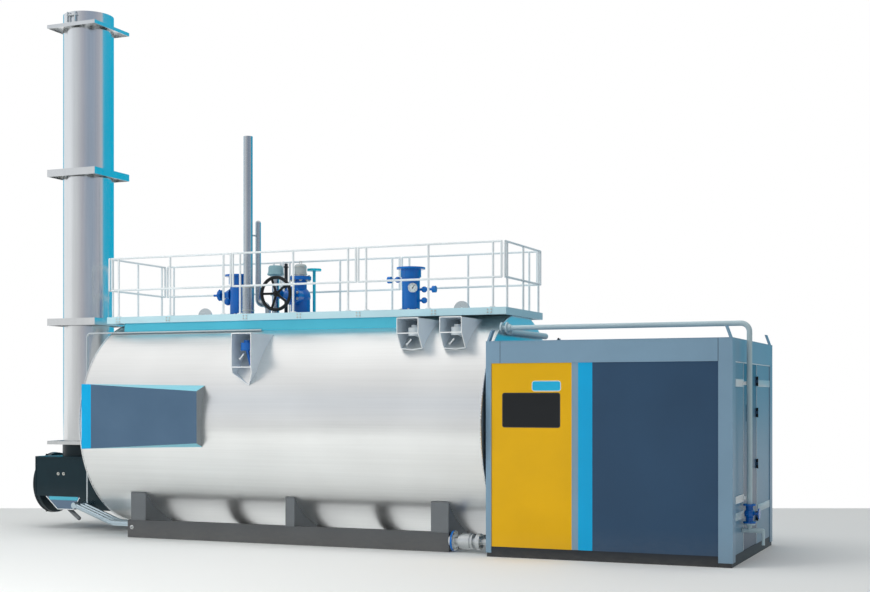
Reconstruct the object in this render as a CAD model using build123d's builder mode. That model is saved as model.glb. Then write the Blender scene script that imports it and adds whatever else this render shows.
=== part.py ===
from build123d import *
import math
import os

# Horizontal fire-tube steam boiler on a skid, with walkway, flue stack and burner cabin.
# Millimetres. X runs along the boiler towards the cabin, Y to the back, Z up.
# The origin is on the ground, under the boiler's axis, at the skid's middle cross member.

# Boiler shell
shell_r = 1720
shell_t = 12
axis_z = 1874
shell_rear_x = -3696
shell_front_x = 3358
end_t = 12
seat_gap = 0.3

# Skid and saddles
skid_half_w = 1310
skid_rear_x = -3035
skid_front_x = 2684
beam_h = 290
beam_flange_w = 120
beam_web_t = 12
beam_flange_t = 14
cross_h = 140
cross_w = 200
cross_t = 10
lash_hole_x = 83
lash_hole_z = 168.2
lash_hole_r = 22
saddle_h = 453
saddle_inner_y = 550
saddle_end_w = 285
saddle_mid_w = 158
saddle_rear_x = -2827
saddle_mid_x = 0
saddle_front_x = 2538
saddle_plate_t = 16
wear_plate_t = 18

# Flue box, drum, stack
stack_x = -4802
stack_r = 440
stack_t = 8
stack_bottom_z = 1474
stack_joint_low_z = 3628
stack_joint_high_z = 6254
stack_top_z = 9080
stack_flange = 1015
stack_flange_h = 62
stack_flange_t = 10
stack_crown_z = 8870
neck_r = 450
flue_half_w = 610
flue_rear_x = -5482
flue_step_x = -4500
flue_low_z = 350
flue_bottom_z = 574
flue_top_z = 1267
drum_r = 535
drum_l = 135
drum_z = 775
drum_edge_r = 40
flue_t = 8
drain_r = 42
drain_header_r = 50
drain_z = 200
drain_ys = (-1090, -970, -850)
drain_bend_x = -3508
drain_top_x = -4264
drain_top_z = 470
drain_bend_r = 400
impulse_r = 15
impulse_x0 = -4191
impulse_x1 = -769
impulse_bend_r = 60
flue_slope_l = 30
cradle_top_x0 = -5260
cradle_top_x1 = -4530
cradle_low_x0 = -5014
cradle_low_x1 = -4666
cradle_low_z = 347
cradle_inset = 10

# Side panel box on the flank
panel_x0 = -3612
panel_x1 = -1361
panel_z0 = 1460
panel_z1 = 2522
panel_stripe_w = 190
panel_left_y = 1770
panel_right_y = 1850
panel_taper = 122
panel_t = 8
panel_root = 200
seam_taper = 1

# Instrument hoods on the shell's shoulder: sheet boxes open at the front
hood_t = 6
hood_w = 345
hood_root_y = 500
low_hood_x = -824
low_hood_shape = {"top_z": 3300, "front_y": 1690, "fold_z": 2774, "tip_z": 2490, "tip_y": 1608,
                  "point": 190, "tip_share": 0.75}
high_hood_xs = (1908, 2604)
high_hood_shape = {"top_z": 3490, "front_y": 1465, "fold_z": 3263, "tip_z": 3020, "tip_y": 1290,
                   "point": 20, "tip_share": 0.5}
gauge_r = 48
gauge_head_r = 95
gauge_head_h = 120

low_stem_y = 1440
low_head_y = 1560
instrument_share = 0.58
low_head_z = 3064
high_stem_y = 1060
high_head_y = 1260
high_head_z = 3260

# Walkway
deck_x0 = -3777
deck_x1 = 3426
deck_half_w = 860
deck_plate_t = 34
edge_h = 110
edge_t = 60
edge_top_z = 3660
deck_hole_gap = 15
support_t = 12
support_inset = 30
support_x0 = -3440
support_x1 = 1615
gusset_l = 230
rail_r = 17
rail_inset = 30
rail_h = 990
mid_rail_h = 455
rail_joint = 45
rail_joints_x = (-1342, 933)
post_overhang = 135
end_post_shares = (0.06, 0.5, 0.94)
lug_w = 270
lug_t = 25
lug_eye_r = 32
lug_xs = (-2372, 2368)
lug_top_z = 3828

# Cabin
cabin_x0 = 3388
cabin_l = 3556
cabin_half_w = 1610
cabin_foot_h = 60
cabin_top_z = 3110
base_h = 150
base_rib_w = 110
floor_t = 30
band_h = 315
band_t = 60
post_left_w = 82
yellow_w = 1209
mullion_w = 93
accent_w = 209
post_right_w = 195
post_d = 205
wall_t = 50
wall_recess = 12
roof_t = 30
door_front_y = -750
door_w = 1000
door_gap = 6
hinge_r = 13
hinge_pin_r = 6
hinge_bore_gap = 0.5
hinge_l = 130
hinge_plate_t = 6
hinge_plate_w = 70
hinge_zs = (2540, 2080, 1330, 560)
knuckle_gap = 1
hinge_standoff = 5
pull_x = 22
pull_inset = 170
pull_w = 45
pull_z0 = 1960
pull_z1 = 2200

lift_tab_l = 165
lift_tab_w = 100
lift_tab_t = 30
lift_tab_lean = 20

# Pipework and valves
nozzle_r = 145
nozzle_bore_r = 130
main_flange_r = 230
main_flange_t = 32
bolt_circle_r = 205
bolt_hole_r = 13
bolt_count = 12
nozzle_top_z = 4390
nozzle_foot_r = 200
nozzle_foot_t = 26
collar_r = 165
rear_nozzle_x = -1772
rear_nozzle_y = 100
front_nozzle_x = 1488
front_nozzle_y = 0
ball_r = 50
ball_reach = 88
knob_r = 55
knob_l = 56
branch_r = 20
front_cock_drops = (190, 360, 535)
front_cock_reaches = (260, 290, 120)
rear_cock_drop = 340
rear_boss_r = 120
rear_boss_l = 149
rear_stem_l = 343
rear_knob_x = 205
rear_knob_r = 92
rear_ball_r = 65
rear_ball_drop = 450
dial_r = 75
dial_t = 34
dial_reach = 70
dial_drop = 342
dial_turn = 31
steam_flange_r = 178
steam_flange_t = 60
steam_body_r = 168
steam_neck_r = 104
steam_foot_r = 160
bonnet_l = 330
bonnet_neck_r = 128
bonnet_root_r = 96
bonnet_tip_r = 40
bonnet_flange_r = 153
bonnet_flange_t = 34
yoke_standoff = 150
steam_top_z = 4330
steam_cap_r = 100
steam_cap_h = 210
steam_cap_edge_r = 45
vent_x = -1348
vent_y = -300
vent_r = 76
vent_t = 5
vent_top_z = 6650
bleed_x = -1272
bleed_y = -100
bleed_r = 46
bleed_top_z = 5270
bleed_bend_z = 3860
bleed_out = 190
bleed_bend_r = 90
tie_drop = 260
tie_r = 14
tapping_x = -530
tapping_y = 500
tapping_r = 26
tapping_flange_r = 120
tapping_top_z = 4483
wheel_r = 290
wheel_rim_r = 28
wheel_hub_r = 50
spoke_count = 5
spoke_start = 36
spoke_rise = 34
spoke_r = 20
hub_l = 60
wheel_z = 3990
steam_valve_x = -629
steam_valve_y = 200
wheel_y = -620
stem_r = 14
stem_fit = 0.1
stem_proud = 20
roof_pipe_r = 38
roof_pipe_y = -870
roof_pipe_z = 3340
roof_pipe_standoff = 92
roof_pipe_bend = 120
header_standoff = 60
header_y0 = -700
header_y1 = 1010
header_z = 3290
header_r = 50
header_branch_ys = (-500, 0, 500)
header_branch_r = 26
end_valve_top_z = 820
end_valve_bottom_z = 550
end_flange_r = 88
end_flange_t = 26
end_body_r = 52
end_handle_x0 = 125
end_handle_x1 = 140
end_handle_r = 76
tee_z = 450
tee_r = 34
tee_flange_r = 80
tee_flange_t = 24
tee_reach = 190
tee_drop = 200
elbow_rise = 20
elbow_r = 22
feed_y = -1245
feed_z = 170

cabin_x1 = cabin_x0 + cabin_l
band_z = cabin_top_z - band_h
deck_z = axis_z + shell_r + seat_gap
deck_top_z = deck_z + deck_plate_t
edge_z = edge_top_z - edge_h


os.makedirs("parts", exist_ok=True)


def write_piece(piece, name):
    piece.part.label = name
    export_step(piece.part, f"parts/{name}.step")


# Height of the seat on the shell's upper outside at a distance y from the axis
def seat_height(y):
    return axis_z + ((shell_r + seat_gap) ** 2 - y ** 2) ** 0.5


# Adds or cuts a box given by its low and high corners
def block(low, high, mode=Mode.ADD):
    size = [high[i] - low[i] for i in range(3)]
    middle = [(high[i] + low[i]) / 2 for i in range(3)]
    with Locations(tuple(middle)):
        Box(*size, mode=mode)


# Cuts the seat of the shell out of a piece
def cut_shell_seat(x0=shell_rear_x - 500, x1=shell_front_x + 500, gap=seat_gap):
    with BuildSketch(Plane.YZ.offset(x0)) as seat:
        with Locations((0, axis_z)):
            Circle(shell_r + gap)
    extrude(seat.sketch, amount=x1 - x0, mode=Mode.SUBTRACT)


# Skid beams: channels with their flanges turned inwards
with BuildPart() as skid_beams:
    with BuildSketch(Plane.YZ.offset(skid_rear_x)):
        with BuildLine():
            web = skid_half_w - beam_web_t
            tip = skid_half_w - beam_flange_w
            Polyline(
                (-skid_half_w, 0), (-tip, 0), (-tip, beam_flange_t), (-web, beam_flange_t),
                (-web, beam_h - beam_flange_t), (-tip, beam_h - beam_flange_t), (-tip, beam_h),
                (-skid_half_w, beam_h), close=True,
            )
        make_face()
    extrude(amount=skid_front_x - skid_rear_x)
    lash_place = (skid_rear_x + lash_hole_x, -skid_half_w, lash_hole_z)
    with Locations(Plane(lash_place, z_dir=(0, -1, 0))):
        Hole(radius=lash_hole_r, depth=beam_web_t)
    mirror(about=Plane.XZ)
write_piece(skid_beams, "skid_beams")

# Cross members: hollow box sections between the lower flanges, flush with the ground
cross_xs = [saddle_rear_x, (saddle_rear_x + saddle_mid_x) / 2, saddle_mid_x,
            (saddle_mid_x + saddle_front_x) / 2, saddle_front_x]
cross_half_l = skid_half_w - beam_flange_w
with BuildPart() as skid_cross_members:
    for x in cross_xs:
        with BuildSketch(Plane.XZ.offset(-cross_half_l)):
            with Locations((x, cross_h / 2)):
                Rectangle(cross_w, cross_h)
                Rectangle(cross_w - 2 * cross_t, cross_h - 2 * cross_t, mode=Mode.SUBTRACT)
        extrude(amount=2 * cross_half_l)
write_piece(skid_cross_members, "skid_cross_members")


# Section of one saddle: flat foot on the beam and the cross member, arc under the shell
def saddle_section(x, inset=0.0, gap=seat_gap):
    low_z = cross_h + inset
    step_z = beam_h + inset
    top_z = beam_h + saddle_h - inset
    step_y = skid_half_w - beam_flange_w + inset
    outer = skid_half_w - inset
    inner = saddle_inner_y + inset
    arc_r = shell_r + gap
    corner_y = min(outer - 1, (arc_r ** 2 - (axis_z - top_z) ** 2) ** 0.5)
    middle_y = (corner_y + inner) / 2
    arc_points = [(-y, axis_z - (arc_r ** 2 - y ** 2) ** 0.5) for y in (corner_y, middle_y, inner)]
    with BuildSketch(Plane.YZ.offset(x)) as section:
        with BuildLine():
            ThreePointArc(*arc_points)
            Polyline(
                arc_points[2], (-inner, low_z), (-step_y, low_z), (-step_y, step_z),
                (-outer, step_z), (-outer, top_z), arc_points[0],
            )
        make_face()
    return section.sketch


# One saddle: web plates under a curved wear plate, closed by an outer end plate
def add_saddle(x, width):
    extrude(saddle_section(x - width / 2), amount=width)
    cavity = saddle_section(x - width / 2 + saddle_plate_t, saddle_plate_t, wear_plate_t)
    extrude(cavity, amount=width - 2 * saddle_plate_t, mode=Mode.SUBTRACT)


with BuildPart() as saddles:
    add_saddle(saddle_rear_x, saddle_end_w)
    add_saddle(saddle_mid_x, saddle_mid_w)
    add_saddle(saddle_front_x, saddle_end_w)
    mirror(about=Plane.XZ)
write_piece(saddles, "saddles")

# Boiler shell: rolled plate between the two end plates
with BuildPart() as boiler_shell:
    with BuildSketch(Plane.YZ.offset(shell_rear_x + end_t)):
        with Locations((0, axis_z)):
            Circle(shell_r)
            Circle(shell_r - shell_t, mode=Mode.SUBTRACT)
    extrude(amount=shell_front_x - shell_rear_x - 2 * end_t)
write_piece(boiler_shell, "boiler_shell")


# End plates: flat discs that close the shell
def end_plate(face_x, outward):
    with BuildSketch(Plane.YZ.offset(face_x)) as disc:
        with Locations((0, axis_z)):
            Circle(shell_r)
    extrude(disc.sketch, amount=-outward * end_t)


with BuildPart() as rear_end_plate:
    end_plate(shell_rear_x, -1)
write_piece(rear_end_plate, "rear_end_plate")

with BuildPart() as front_end_plate:
    end_plate(shell_front_x, 1)
write_piece(front_end_plate, "front_end_plate")


# Section of the flank panel at one station, from its root inside the shell to its face
def panel_section(x, face_y, taper, inset=0):
    root_y = shell_r - panel_root
    with BuildSketch(Plane.YZ.offset(x)) as section:
        with BuildLine():
            Polyline(
                (-root_y, panel_z0 + inset), (-face_y + inset, panel_z0 + taper + inset),
                (-face_y + inset, panel_z1 - taper - inset), (-root_y, panel_z1 - inset), close=True,
            )
        make_face()
    return section.sketch


# A sheet box between two stations of (x, face distance, taper), open towards the shell
def add_panel_box(stations):
    loft([panel_section(*station) for station in stations], ruled=True)
    (x0, y0, taper0), (x1, y1, taper1) = stations
    inner = [(x0 + panel_t, y0, taper0), (x1 - panel_t, y1, taper1)]
    inner_sections = [panel_section(*station, inset=panel_t) for station in inner]
    loft(inner_sections, ruled=True, mode=Mode.SUBTRACT)
    cut_shell_seat()


stripe_x1 = panel_x0 + panel_stripe_w
stripe_share = panel_stripe_w / (panel_x1 - panel_x0)
stripe_y = panel_left_y + (panel_right_y - panel_left_y) * stripe_share
stripe_station = (stripe_x1, stripe_y, panel_taper * stripe_share)

# Accent strip: the left end of the flank panel
with BuildPart() as flank_panel_strip:
    add_panel_box([(panel_x0, panel_left_y, seam_taper), stripe_station])
write_piece(flank_panel_strip, "flank_panel_strip")

# Flank panel: face that stands out further at its right end, with sloping returns
with BuildPart() as flank_panel:
    add_panel_box([stripe_station, (panel_x1, panel_right_y, panel_taper)])
write_piece(flank_panel, "flank_panel")


# Outline of a hood seen from the front, with a pointed lower edge
def hood_front(x0, shape, inset):
    x1 = x0 + hood_w
    tip_x = x0 + shape["tip_share"] * hood_w
    top_z = shape["top_z"] - inset
    tip_z = shape["tip_z"] + inset
    with BuildSketch(Plane.XZ) as outline:
        with BuildLine():
            Polyline(
                (x0 + inset, top_z), (x1 - inset, top_z), (x1 - inset, tip_z + shape["point"]),
                (tip_x, tip_z), (x0 + inset, tip_z + shape["point"]), close=True,
            )
        make_face()
    return outline.sketch


# Outline of a hood seen from its side: upright front down to the fold, then in to the shell
def hood_side(x, shape):
    with BuildSketch(Plane.YZ.offset(x)) as outline:
        with BuildLine():
            Polyline(
                (-hood_root_y, shape["tip_z"]), (-shape["tip_y"], shape["tip_z"]),
                (-shape["front_y"], shape["fold_z"]), (-shape["front_y"], shape["top_z"]),
                (-hood_root_y, shape["top_z"]), close=True,
            )
        make_face()
    return outline.sketch


# Hoods of one shape at several places: sheet walls all round, open at the front and at the shell
def add_hoods(xs, shape):
    for x in xs:
        extrude(hood_front(x, shape, 0), amount=2 * shell_r)
    extrude(hood_side(xs[0], shape), amount=xs[-1] + hood_w - xs[0], mode=Mode.INTERSECT)
    for x in xs:
        extrude(hood_front(x, shape, hood_t), amount=2 * shell_r, mode=Mode.SUBTRACT)
    cut_shell_seat()


with BuildPart() as low_instrument_hood:
    add_hoods([low_hood_x], low_hood_shape)
write_piece(low_instrument_hood, "low_instrument_hood")

with BuildPart() as high_instrument_hoods:
    add_hoods(high_hood_xs, high_hood_shape)
write_piece(high_instrument_hoods, "high_instrument_hoods")


# A level instrument: a stem that leans out from the shell and a round head on it
def add_instrument(x, stem_y, head_y, head_z):
    stem_z = seat_height(stem_y)
    stem_line = Edge.make_line((x, -stem_y, stem_z), (x, -head_y, head_z))
    with BuildSketch(Plane(stem_line @ 0, z_dir=stem_line % 0)) as stem:
        Circle(gauge_r / 2)
    extrude(stem.sketch, amount=stem_line.length)
    head_plane = Plane((x, -head_y, head_z - gauge_head_h / 4))
    with BuildSketch(head_plane) as head:
        Circle(gauge_head_r)
    extrude(head.sketch, amount=gauge_head_h)
    with BuildSketch(head_plane.offset(gauge_head_h)) as cover:
        Circle(gauge_r)
    extrude(cover.sketch, amount=gauge_head_h / 3)
    cut_shell_seat(x - hood_w, x + hood_w)


with BuildPart() as level_instruments:
    add_instrument(low_hood_x + hood_w * instrument_share, low_stem_y, low_head_y, low_head_z)
    for x in high_hood_xs:
        add_instrument(x + hood_w * instrument_share, high_stem_y, high_head_y, high_head_z)
write_piece(level_instruments, "level_instruments")

# Walkway deck: plate on the shell's crown, with holes where nozzles and lugs pass
deck_in = deck_half_w - edge_t
with BuildPart() as walkway_deck:
    block((deck_x0 + edge_t, -deck_in, deck_z), (deck_x1 - edge_t, deck_in, deck_top_z))
    with Locations(
        (rear_nozzle_x, rear_nozzle_y, deck_top_z),
        (front_nozzle_x, front_nozzle_y, deck_top_z),
        (steam_valve_x, steam_valve_y, deck_top_z),
    ):
        Hole(radius=nozzle_r + deck_hole_gap, depth=deck_plate_t)
    with Locations((vent_x, vent_y, deck_top_z)):
        Hole(radius=vent_r + deck_hole_gap, depth=deck_plate_t)
    with Locations((tapping_x, tapping_y, deck_top_z)):
        Hole(radius=tapping_r + deck_hole_gap, depth=deck_plate_t)
    for x in lug_xs:
        block(
            (x - lug_w / 2 - deck_hole_gap, -lug_t / 2 - deck_hole_gap, deck_z),
            (x + lug_w / 2 + deck_hole_gap, lug_t / 2 + deck_hole_gap, deck_top_z),
            mode=Mode.SUBTRACT,
        )
write_piece(walkway_deck, "walkway_deck")

# Edge beams: channels round the deck, open to the inside above the plate
with BuildPart() as walkway_edge_beams:
    block((deck_x0, -deck_half_w, edge_z), (deck_x1, deck_half_w, edge_top_z))
    block(
        (deck_x0 + edge_t, -deck_in, edge_z), (deck_x1 - edge_t, deck_in, edge_top_z),
        mode=Mode.SUBTRACT,
    )
write_piece(walkway_edge_beams, "walkway_edge_beams")

# Supports: webs between the shell's shoulders and the edge beams, with end gussets
support_y = deck_half_w - support_inset
with BuildPart() as walkway_supports:
    block(
        (support_x0, -support_y, axis_z + shell_r / 2),
        (support_x1, -support_y + support_t, edge_z),
    )
    for x in (support_x0, support_x1 - support_t):
        block(
            (x, -support_y + support_t, axis_z + shell_r / 2),
            (x + support_t, -support_y + gusset_l, edge_z),
        )
    cut_shell_seat()
    mirror(about=Plane.XZ)
write_piece(walkway_supports, "walkway_supports")

# Lifting lugs: half-round plates welded to the crown, with an eye
with BuildPart() as lifting_lugs:
    for x in lug_xs:
        with BuildSketch(Plane.XZ.offset(-lug_t / 2)) as lug:
            with BuildLine():
                lug_side_z = lug_top_z - lug_w / 2
                Polyline(
                    (x - lug_w / 2, lug_side_z), (x - lug_w / 2, deck_z),
                    (x + lug_w / 2, deck_z), (x + lug_w / 2, lug_side_z),
                )
                ThreePointArc(
                    (x - lug_w / 2, lug_side_z), (x, lug_top_z), (x + lug_w / 2, lug_side_z),
                )
            make_face()
            with Locations((x, lug_top_z - lug_w / 2)):
                Circle(lug_eye_r, mode=Mode.SUBTRACT)
        extrude(amount=lug_t)
write_piece(lifting_lugs, "lifting_lugs")


# A round bar between two points
def add_bar(start, end, radius=rail_r):
    line = Edge.make_line(start, end)
    with BuildSketch(Plane(line @ 0, z_dir=line % 0)) as section:
        Circle(radius)
    extrude(section.sketch, amount=line.length)


# A railing panel: top and mid rails closed at both ends, on posts that stand on the edge beam
def add_railing(start, end, post_shares):
    run = Vector(*end) - Vector(*start)
    top_z = edge_top_z + rail_h
    mid_z = edge_top_z + mid_rail_h

    def at(share, z):
        spot = Vector(*start) + run * share
        return (spot.X, spot.Y, z)

    for z in (top_z, mid_z):
        add_bar(at(0, z), at(1, z))
    for share in (0, 1):
        add_bar(at(share, mid_z), at(share, top_z))
        with Locations(at(share, top_z), at(share, mid_z)):
            Sphere(rail_r)
    for share in post_shares:
        add_bar(at(share, edge_top_z), at(share, top_z))


rail_y = deck_half_w - rail_inset
rail_x0 = deck_x0 + rail_inset
rail_x1 = deck_x1 - rail_inset
rail_corner = 2 * rail_r + 20
rail_starts = [rail_x0 + rail_corner] + [x + rail_joint / 2 for x in rail_joints_x]
rail_ends = [x - rail_joint / 2 for x in rail_joints_x] + [rail_x1 - rail_corner]


def add_side_railings(y):
    for x0, x1 in zip(rail_starts, rail_ends):
        inset = post_overhang / (x1 - x0)
        add_railing((x0, y), (x1, y), (inset, 0.5, 1 - inset))


with BuildPart() as front_railings:
    add_side_railings(-rail_y)
write_piece(front_railings, "front_railings")

with BuildPart() as back_railings:
    add_side_railings(rail_y)
write_piece(back_railings, "back_railings")

with BuildPart() as end_railings:
    for x in (rail_x0, rail_x1):
        add_railing((x, -rail_y), (x, rail_y), end_post_shares)
write_piece(end_railings, "end_railings")


# A round section built up along Z from steps of (radius, low z, high z)
def add_steps(x, y, steps):
    for radius, z0, z1 in steps:
        with BuildSketch(Plane((x, y, z0))) as ring:
            Circle(radius)
        extrude(ring.sketch, amount=z1 - z0)


# A vertical nozzle on the shell: pipe, foot ring, collar and a drilled top flange
def add_nozzle(x, y, flange_r, top_z):
    foot_z = seat_height(abs(y) + nozzle_foot_r) - seat_gap
    add_steps(x, y, [
        (nozzle_r, foot_z - nozzle_foot_t, top_z - main_flange_t),
        (collar_r, top_z - 5 * main_flange_t, top_z - main_flange_t),
        (flange_r, top_z - main_flange_t, top_z),
    ])
    with Locations((x, y, top_z)):
        Hole(radius=nozzle_bore_r, depth=top_z - deck_top_z)
        with PolarLocations(bolt_circle_r, bolt_count):
            Hole(radius=bolt_hole_r, depth=main_flange_t)
    cut_shell_seat(x - 2 * nozzle_r, x + 2 * nozzle_r)


branch_root = 0.8 * (nozzle_r - nozzle_bore_r)


# A gauge cock: short branch along X with a ball body, and a round knob if it is long
def add_cock(x, y, z, side, reach):
    knob_x = x + side * (reach - knob_l)
    add_bar((x - side * branch_root, y, z), (knob_x, y, z), branch_r)
    with Locations((x + side * ball_reach, y, z)):
        Sphere(ball_r)
    if reach > ball_reach + ball_r:
        add_bar((knob_x, y, z), (x + side * reach, y, z), knob_r)


# Front nozzle: flanged body with gauge cocks on both flanks and a round dial gauge
with BuildPart() as front_nozzle:
    add_nozzle(front_nozzle_x, front_nozzle_y, main_flange_r, nozzle_top_z)
    for side, drop, reach in zip((-1, 1, 1), front_cock_drops, front_cock_reaches):
        cock_x = front_nozzle_x + side * nozzle_r
        add_cock(cock_x, front_nozzle_y, nozzle_top_z - drop, side, reach)
    dial_way = Vector(0, -1, 0).rotate(Axis.Z, dial_turn)
    dial_centre = Vector(front_nozzle_x, front_nozzle_y, nozzle_top_z - dial_drop)
    dial_root = dial_centre + dial_way * (nozzle_r - branch_root)
    dial_back = dial_centre + dial_way * (nozzle_r + dial_reach - dial_t)
    dial_front = dial_centre + dial_way * (nozzle_r + dial_reach)
    add_bar(tuple(dial_root), tuple(dial_back), branch_r)
    add_bar(tuple(dial_back), tuple(dial_front), dial_r)
write_piece(front_nozzle, "front_nozzle")

# Rear nozzle: the same body with a tapered side boss, its round handle and a drain ball
boss_x = rear_nozzle_x - nozzle_r
boss_z = nozzle_top_z - rear_cock_drop
with BuildPart() as rear_nozzle:
    add_nozzle(rear_nozzle_x, rear_nozzle_y, main_flange_r, nozzle_top_z)
    boss_ends = []
    for distance, radius in ((-branch_root, rear_boss_r), (rear_boss_l, 2 * branch_r)):
        boss_place = (boss_x - distance, rear_nozzle_y, boss_z)
        with BuildSketch(Plane(boss_place, z_dir=(-1, 0, 0))) as boss_ring:
            Circle(radius)
        boss_ends.append(boss_ring.sketch)
    loft(boss_ends, ruled=True)
    add_bar(
        (boss_x - rear_boss_l, rear_nozzle_y, boss_z),
        (boss_x - rear_stem_l, rear_nozzle_y, boss_z), branch_r,
    )
    add_bar(
        (boss_x - rear_knob_x + knob_l / 2, rear_nozzle_y, boss_z),
        (boss_x - rear_knob_x - knob_l / 2, rear_nozzle_y, boss_z), rear_knob_r,
    )
    ball_z = nozzle_top_z - rear_ball_drop
    add_bar(
        (boss_x + branch_root, rear_nozzle_y, ball_z),
        (boss_x - rear_ball_r, rear_nozzle_y, ball_z), branch_r,
    )
    with Locations((boss_x - rear_ball_r, rear_nozzle_y, ball_z)):
        Sphere(rear_ball_r)
    with Locations((rear_nozzle_x, rear_nozzle_y, nozzle_top_z)):
        Hole(radius=nozzle_bore_r, depth=nozzle_top_z - deck_top_z)
write_piece(rear_nozzle, "rear_nozzle")

# Main steam valve: globe body on a nozzle, bonnet and yoke towards the handwheel
body_z = wheel_z
bonnet_flange_y = steam_valve_y - bonnet_l
yoke_y = wheel_y + yoke_standoff
with BuildPart() as main_steam_valve:
    foot_z = seat_height(steam_valve_y + nozzle_foot_r) - seat_gap
    add_steps(steam_valve_x, steam_valve_y, [
        (steam_foot_r, foot_z - nozzle_foot_t, body_z),
        (steam_neck_r, body_z, steam_top_z - steam_flange_t),
        (steam_flange_r, steam_top_z - steam_flange_t, steam_top_z),
    ])
    with Locations((steam_valve_x, steam_valve_y, body_z)):
        Sphere(steam_body_r)
    valve_axis = Plane((steam_valve_x, steam_valve_y, body_z), z_dir=(0, -1, 0))
    with BuildSketch(valve_axis) as bonnet_neck:
        Circle(bonnet_neck_r)
    extrude(bonnet_neck.sketch, amount=steam_valve_y - bonnet_flange_y)
    bonnet_ends = []
    for distance, radius in (
        (steam_valve_y - bonnet_flange_y, bonnet_root_r), (steam_valve_y - yoke_y, bonnet_tip_r),
    ):
        with BuildSketch(valve_axis.offset(distance)) as ring:
            Circle(radius)
        bonnet_ends.append(ring.sketch)
    loft(bonnet_ends, ruled=True)
    with BuildSketch(valve_axis.offset(steam_valve_y - bonnet_flange_y - bonnet_flange_t)) as bonnet_flange:
        Circle(bonnet_flange_r)
    extrude(bonnet_flange.sketch, amount=bonnet_flange_t)
    with BuildSketch(valve_axis.offset(steam_valve_y - yoke_y)) as stem:
        Circle(stem_r)
    extrude(stem.sketch, amount=yoke_y - wheel_y + stem_proud)
    cut_shell_seat(steam_valve_x - 2 * nozzle_r, steam_valve_x + 2 * nozzle_r)
write_piece(main_steam_valve, "main_steam_valve")

# Exhaust cap over the main steam valve: silencer drum with a domed top
with BuildPart() as steam_valve_cap:
    with BuildSketch(Plane((steam_valve_x, steam_valve_y, steam_top_z))) as cap:
        Circle(steam_cap_r)
    extrude(cap.sketch, amount=steam_cap_h)
    fillet(steam_valve_cap.edges().filter_by(GeomType.CIRCLE).sort_by(Axis.Z)[-1], radius=steam_cap_edge_r)
write_piece(steam_valve_cap, "steam_valve_cap")

# Handwheel: round rim set forward of the hub, five raked spokes and a bored hub on the stem
wheel_plane = Plane((steam_valve_x, wheel_y, wheel_z), x_dir=(1, 0, 0), z_dir=(0, -1, 0))
with BuildPart() as steam_handwheel:
    add(Solid.make_torus(wheel_r - wheel_rim_r, wheel_rim_r, wheel_plane.offset(spoke_rise / 2)))
    for k in range(spoke_count):
        angle = spoke_start + k * 360 / spoke_count
        tip = Vector(1, 0, 0).rotate(Axis.Z, angle) * (wheel_r - wheel_rim_r)
        hub = Vector(1, 0, 0).rotate(Axis.Z, angle) * (wheel_hub_r - 8)
        start = wheel_plane.from_local_coords(Vector(hub.X, hub.Y, 0))
        end = wheel_plane.from_local_coords(Vector(tip.X, tip.Y, spoke_rise / 2))
        add_bar(start, end, spoke_r)
    with BuildSketch(wheel_plane.offset(-hub_l / 2)) as hub_disc:
        Circle(wheel_hub_r)
    extrude(hub_disc.sketch, amount=hub_l)
    with BuildSketch(wheel_plane.offset(-hub_l / 2)) as hub_bore:
        Circle(stem_r + stem_fit)
    extrude(hub_bore.sketch, amount=hub_l, mode=Mode.SUBTRACT)
write_piece(steam_handwheel, "steam_handwheel")

# Vent pipe: open tube on a closed foot that rises from the shell's crown
with BuildPart() as vent_pipe:
    foot_z = seat_height(abs(vent_y) + vent_r) - seat_gap
    with BuildSketch(Plane((vent_x, vent_y, foot_z - nozzle_foot_t))) as tube:
        Circle(vent_r)
    extrude(tube.sketch, amount=vent_top_z - foot_z + nozzle_foot_t)
    with Locations((vent_x, vent_y, vent_top_z)):
        Hole(radius=vent_r - vent_t, depth=vent_top_z - deck_top_z)
    cut_shell_seat(vent_x - 2 * vent_r, vent_x + 2 * vent_r)
write_piece(vent_pipe, "vent_pipe")

# Bleed pipe: thinner pipe with a closed top, tied to the vent pipe, its foot bent to the front
with BuildPart() as bleed_pipe:
    with BuildLine(Plane.XZ.offset(-bleed_y)) as bleed_path:
        FilletPolyline(
            (bleed_x, bleed_top_z - bleed_r), (bleed_x, bleed_bend_z),
            (bleed_x + bleed_out, bleed_bend_z), (bleed_x + bleed_out, deck_top_z),
            radius=bleed_bend_r,
        )
    with BuildSketch(Plane(bleed_path.line @ 0, z_dir=bleed_path.line % 0)) as bleed_section:
        Circle(bleed_r)
    sweep(bleed_section.sketch, path=bleed_path.line)
    with Locations((bleed_x, bleed_y, bleed_top_z - bleed_r)):
        Sphere(bleed_r)
    tie_start = Vector(vent_x, vent_y)
    tie_run = Vector(bleed_x, bleed_y) - tie_start
    tie_from = tie_start + tie_run.normalized() * (vent_r + seat_gap)
    tie_z = bleed_top_z - tie_drop
    add_bar((tie_from.X, tie_from.Y, tie_z), (bleed_x, bleed_y, tie_z), tie_r)
write_piece(bleed_pipe, "bleed_pipe")

# Tapping: thin riser with a small top flange behind the main steam valve
with BuildPart() as steam_tapping:
    foot_z = seat_height(tapping_y + tapping_r) - 30
    add_steps(tapping_x, tapping_y, [
        (tapping_r, foot_z, tapping_top_z - 40),
        (tapping_flange_r, tapping_top_z - 40, tapping_top_z),
    ])
    cut_shell_seat(tapping_x - tapping_flange_r, tapping_x + tapping_flange_r)
write_piece(steam_tapping, "steam_tapping")

# Stack sections: rolled tubes joined by square angle frames


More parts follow.
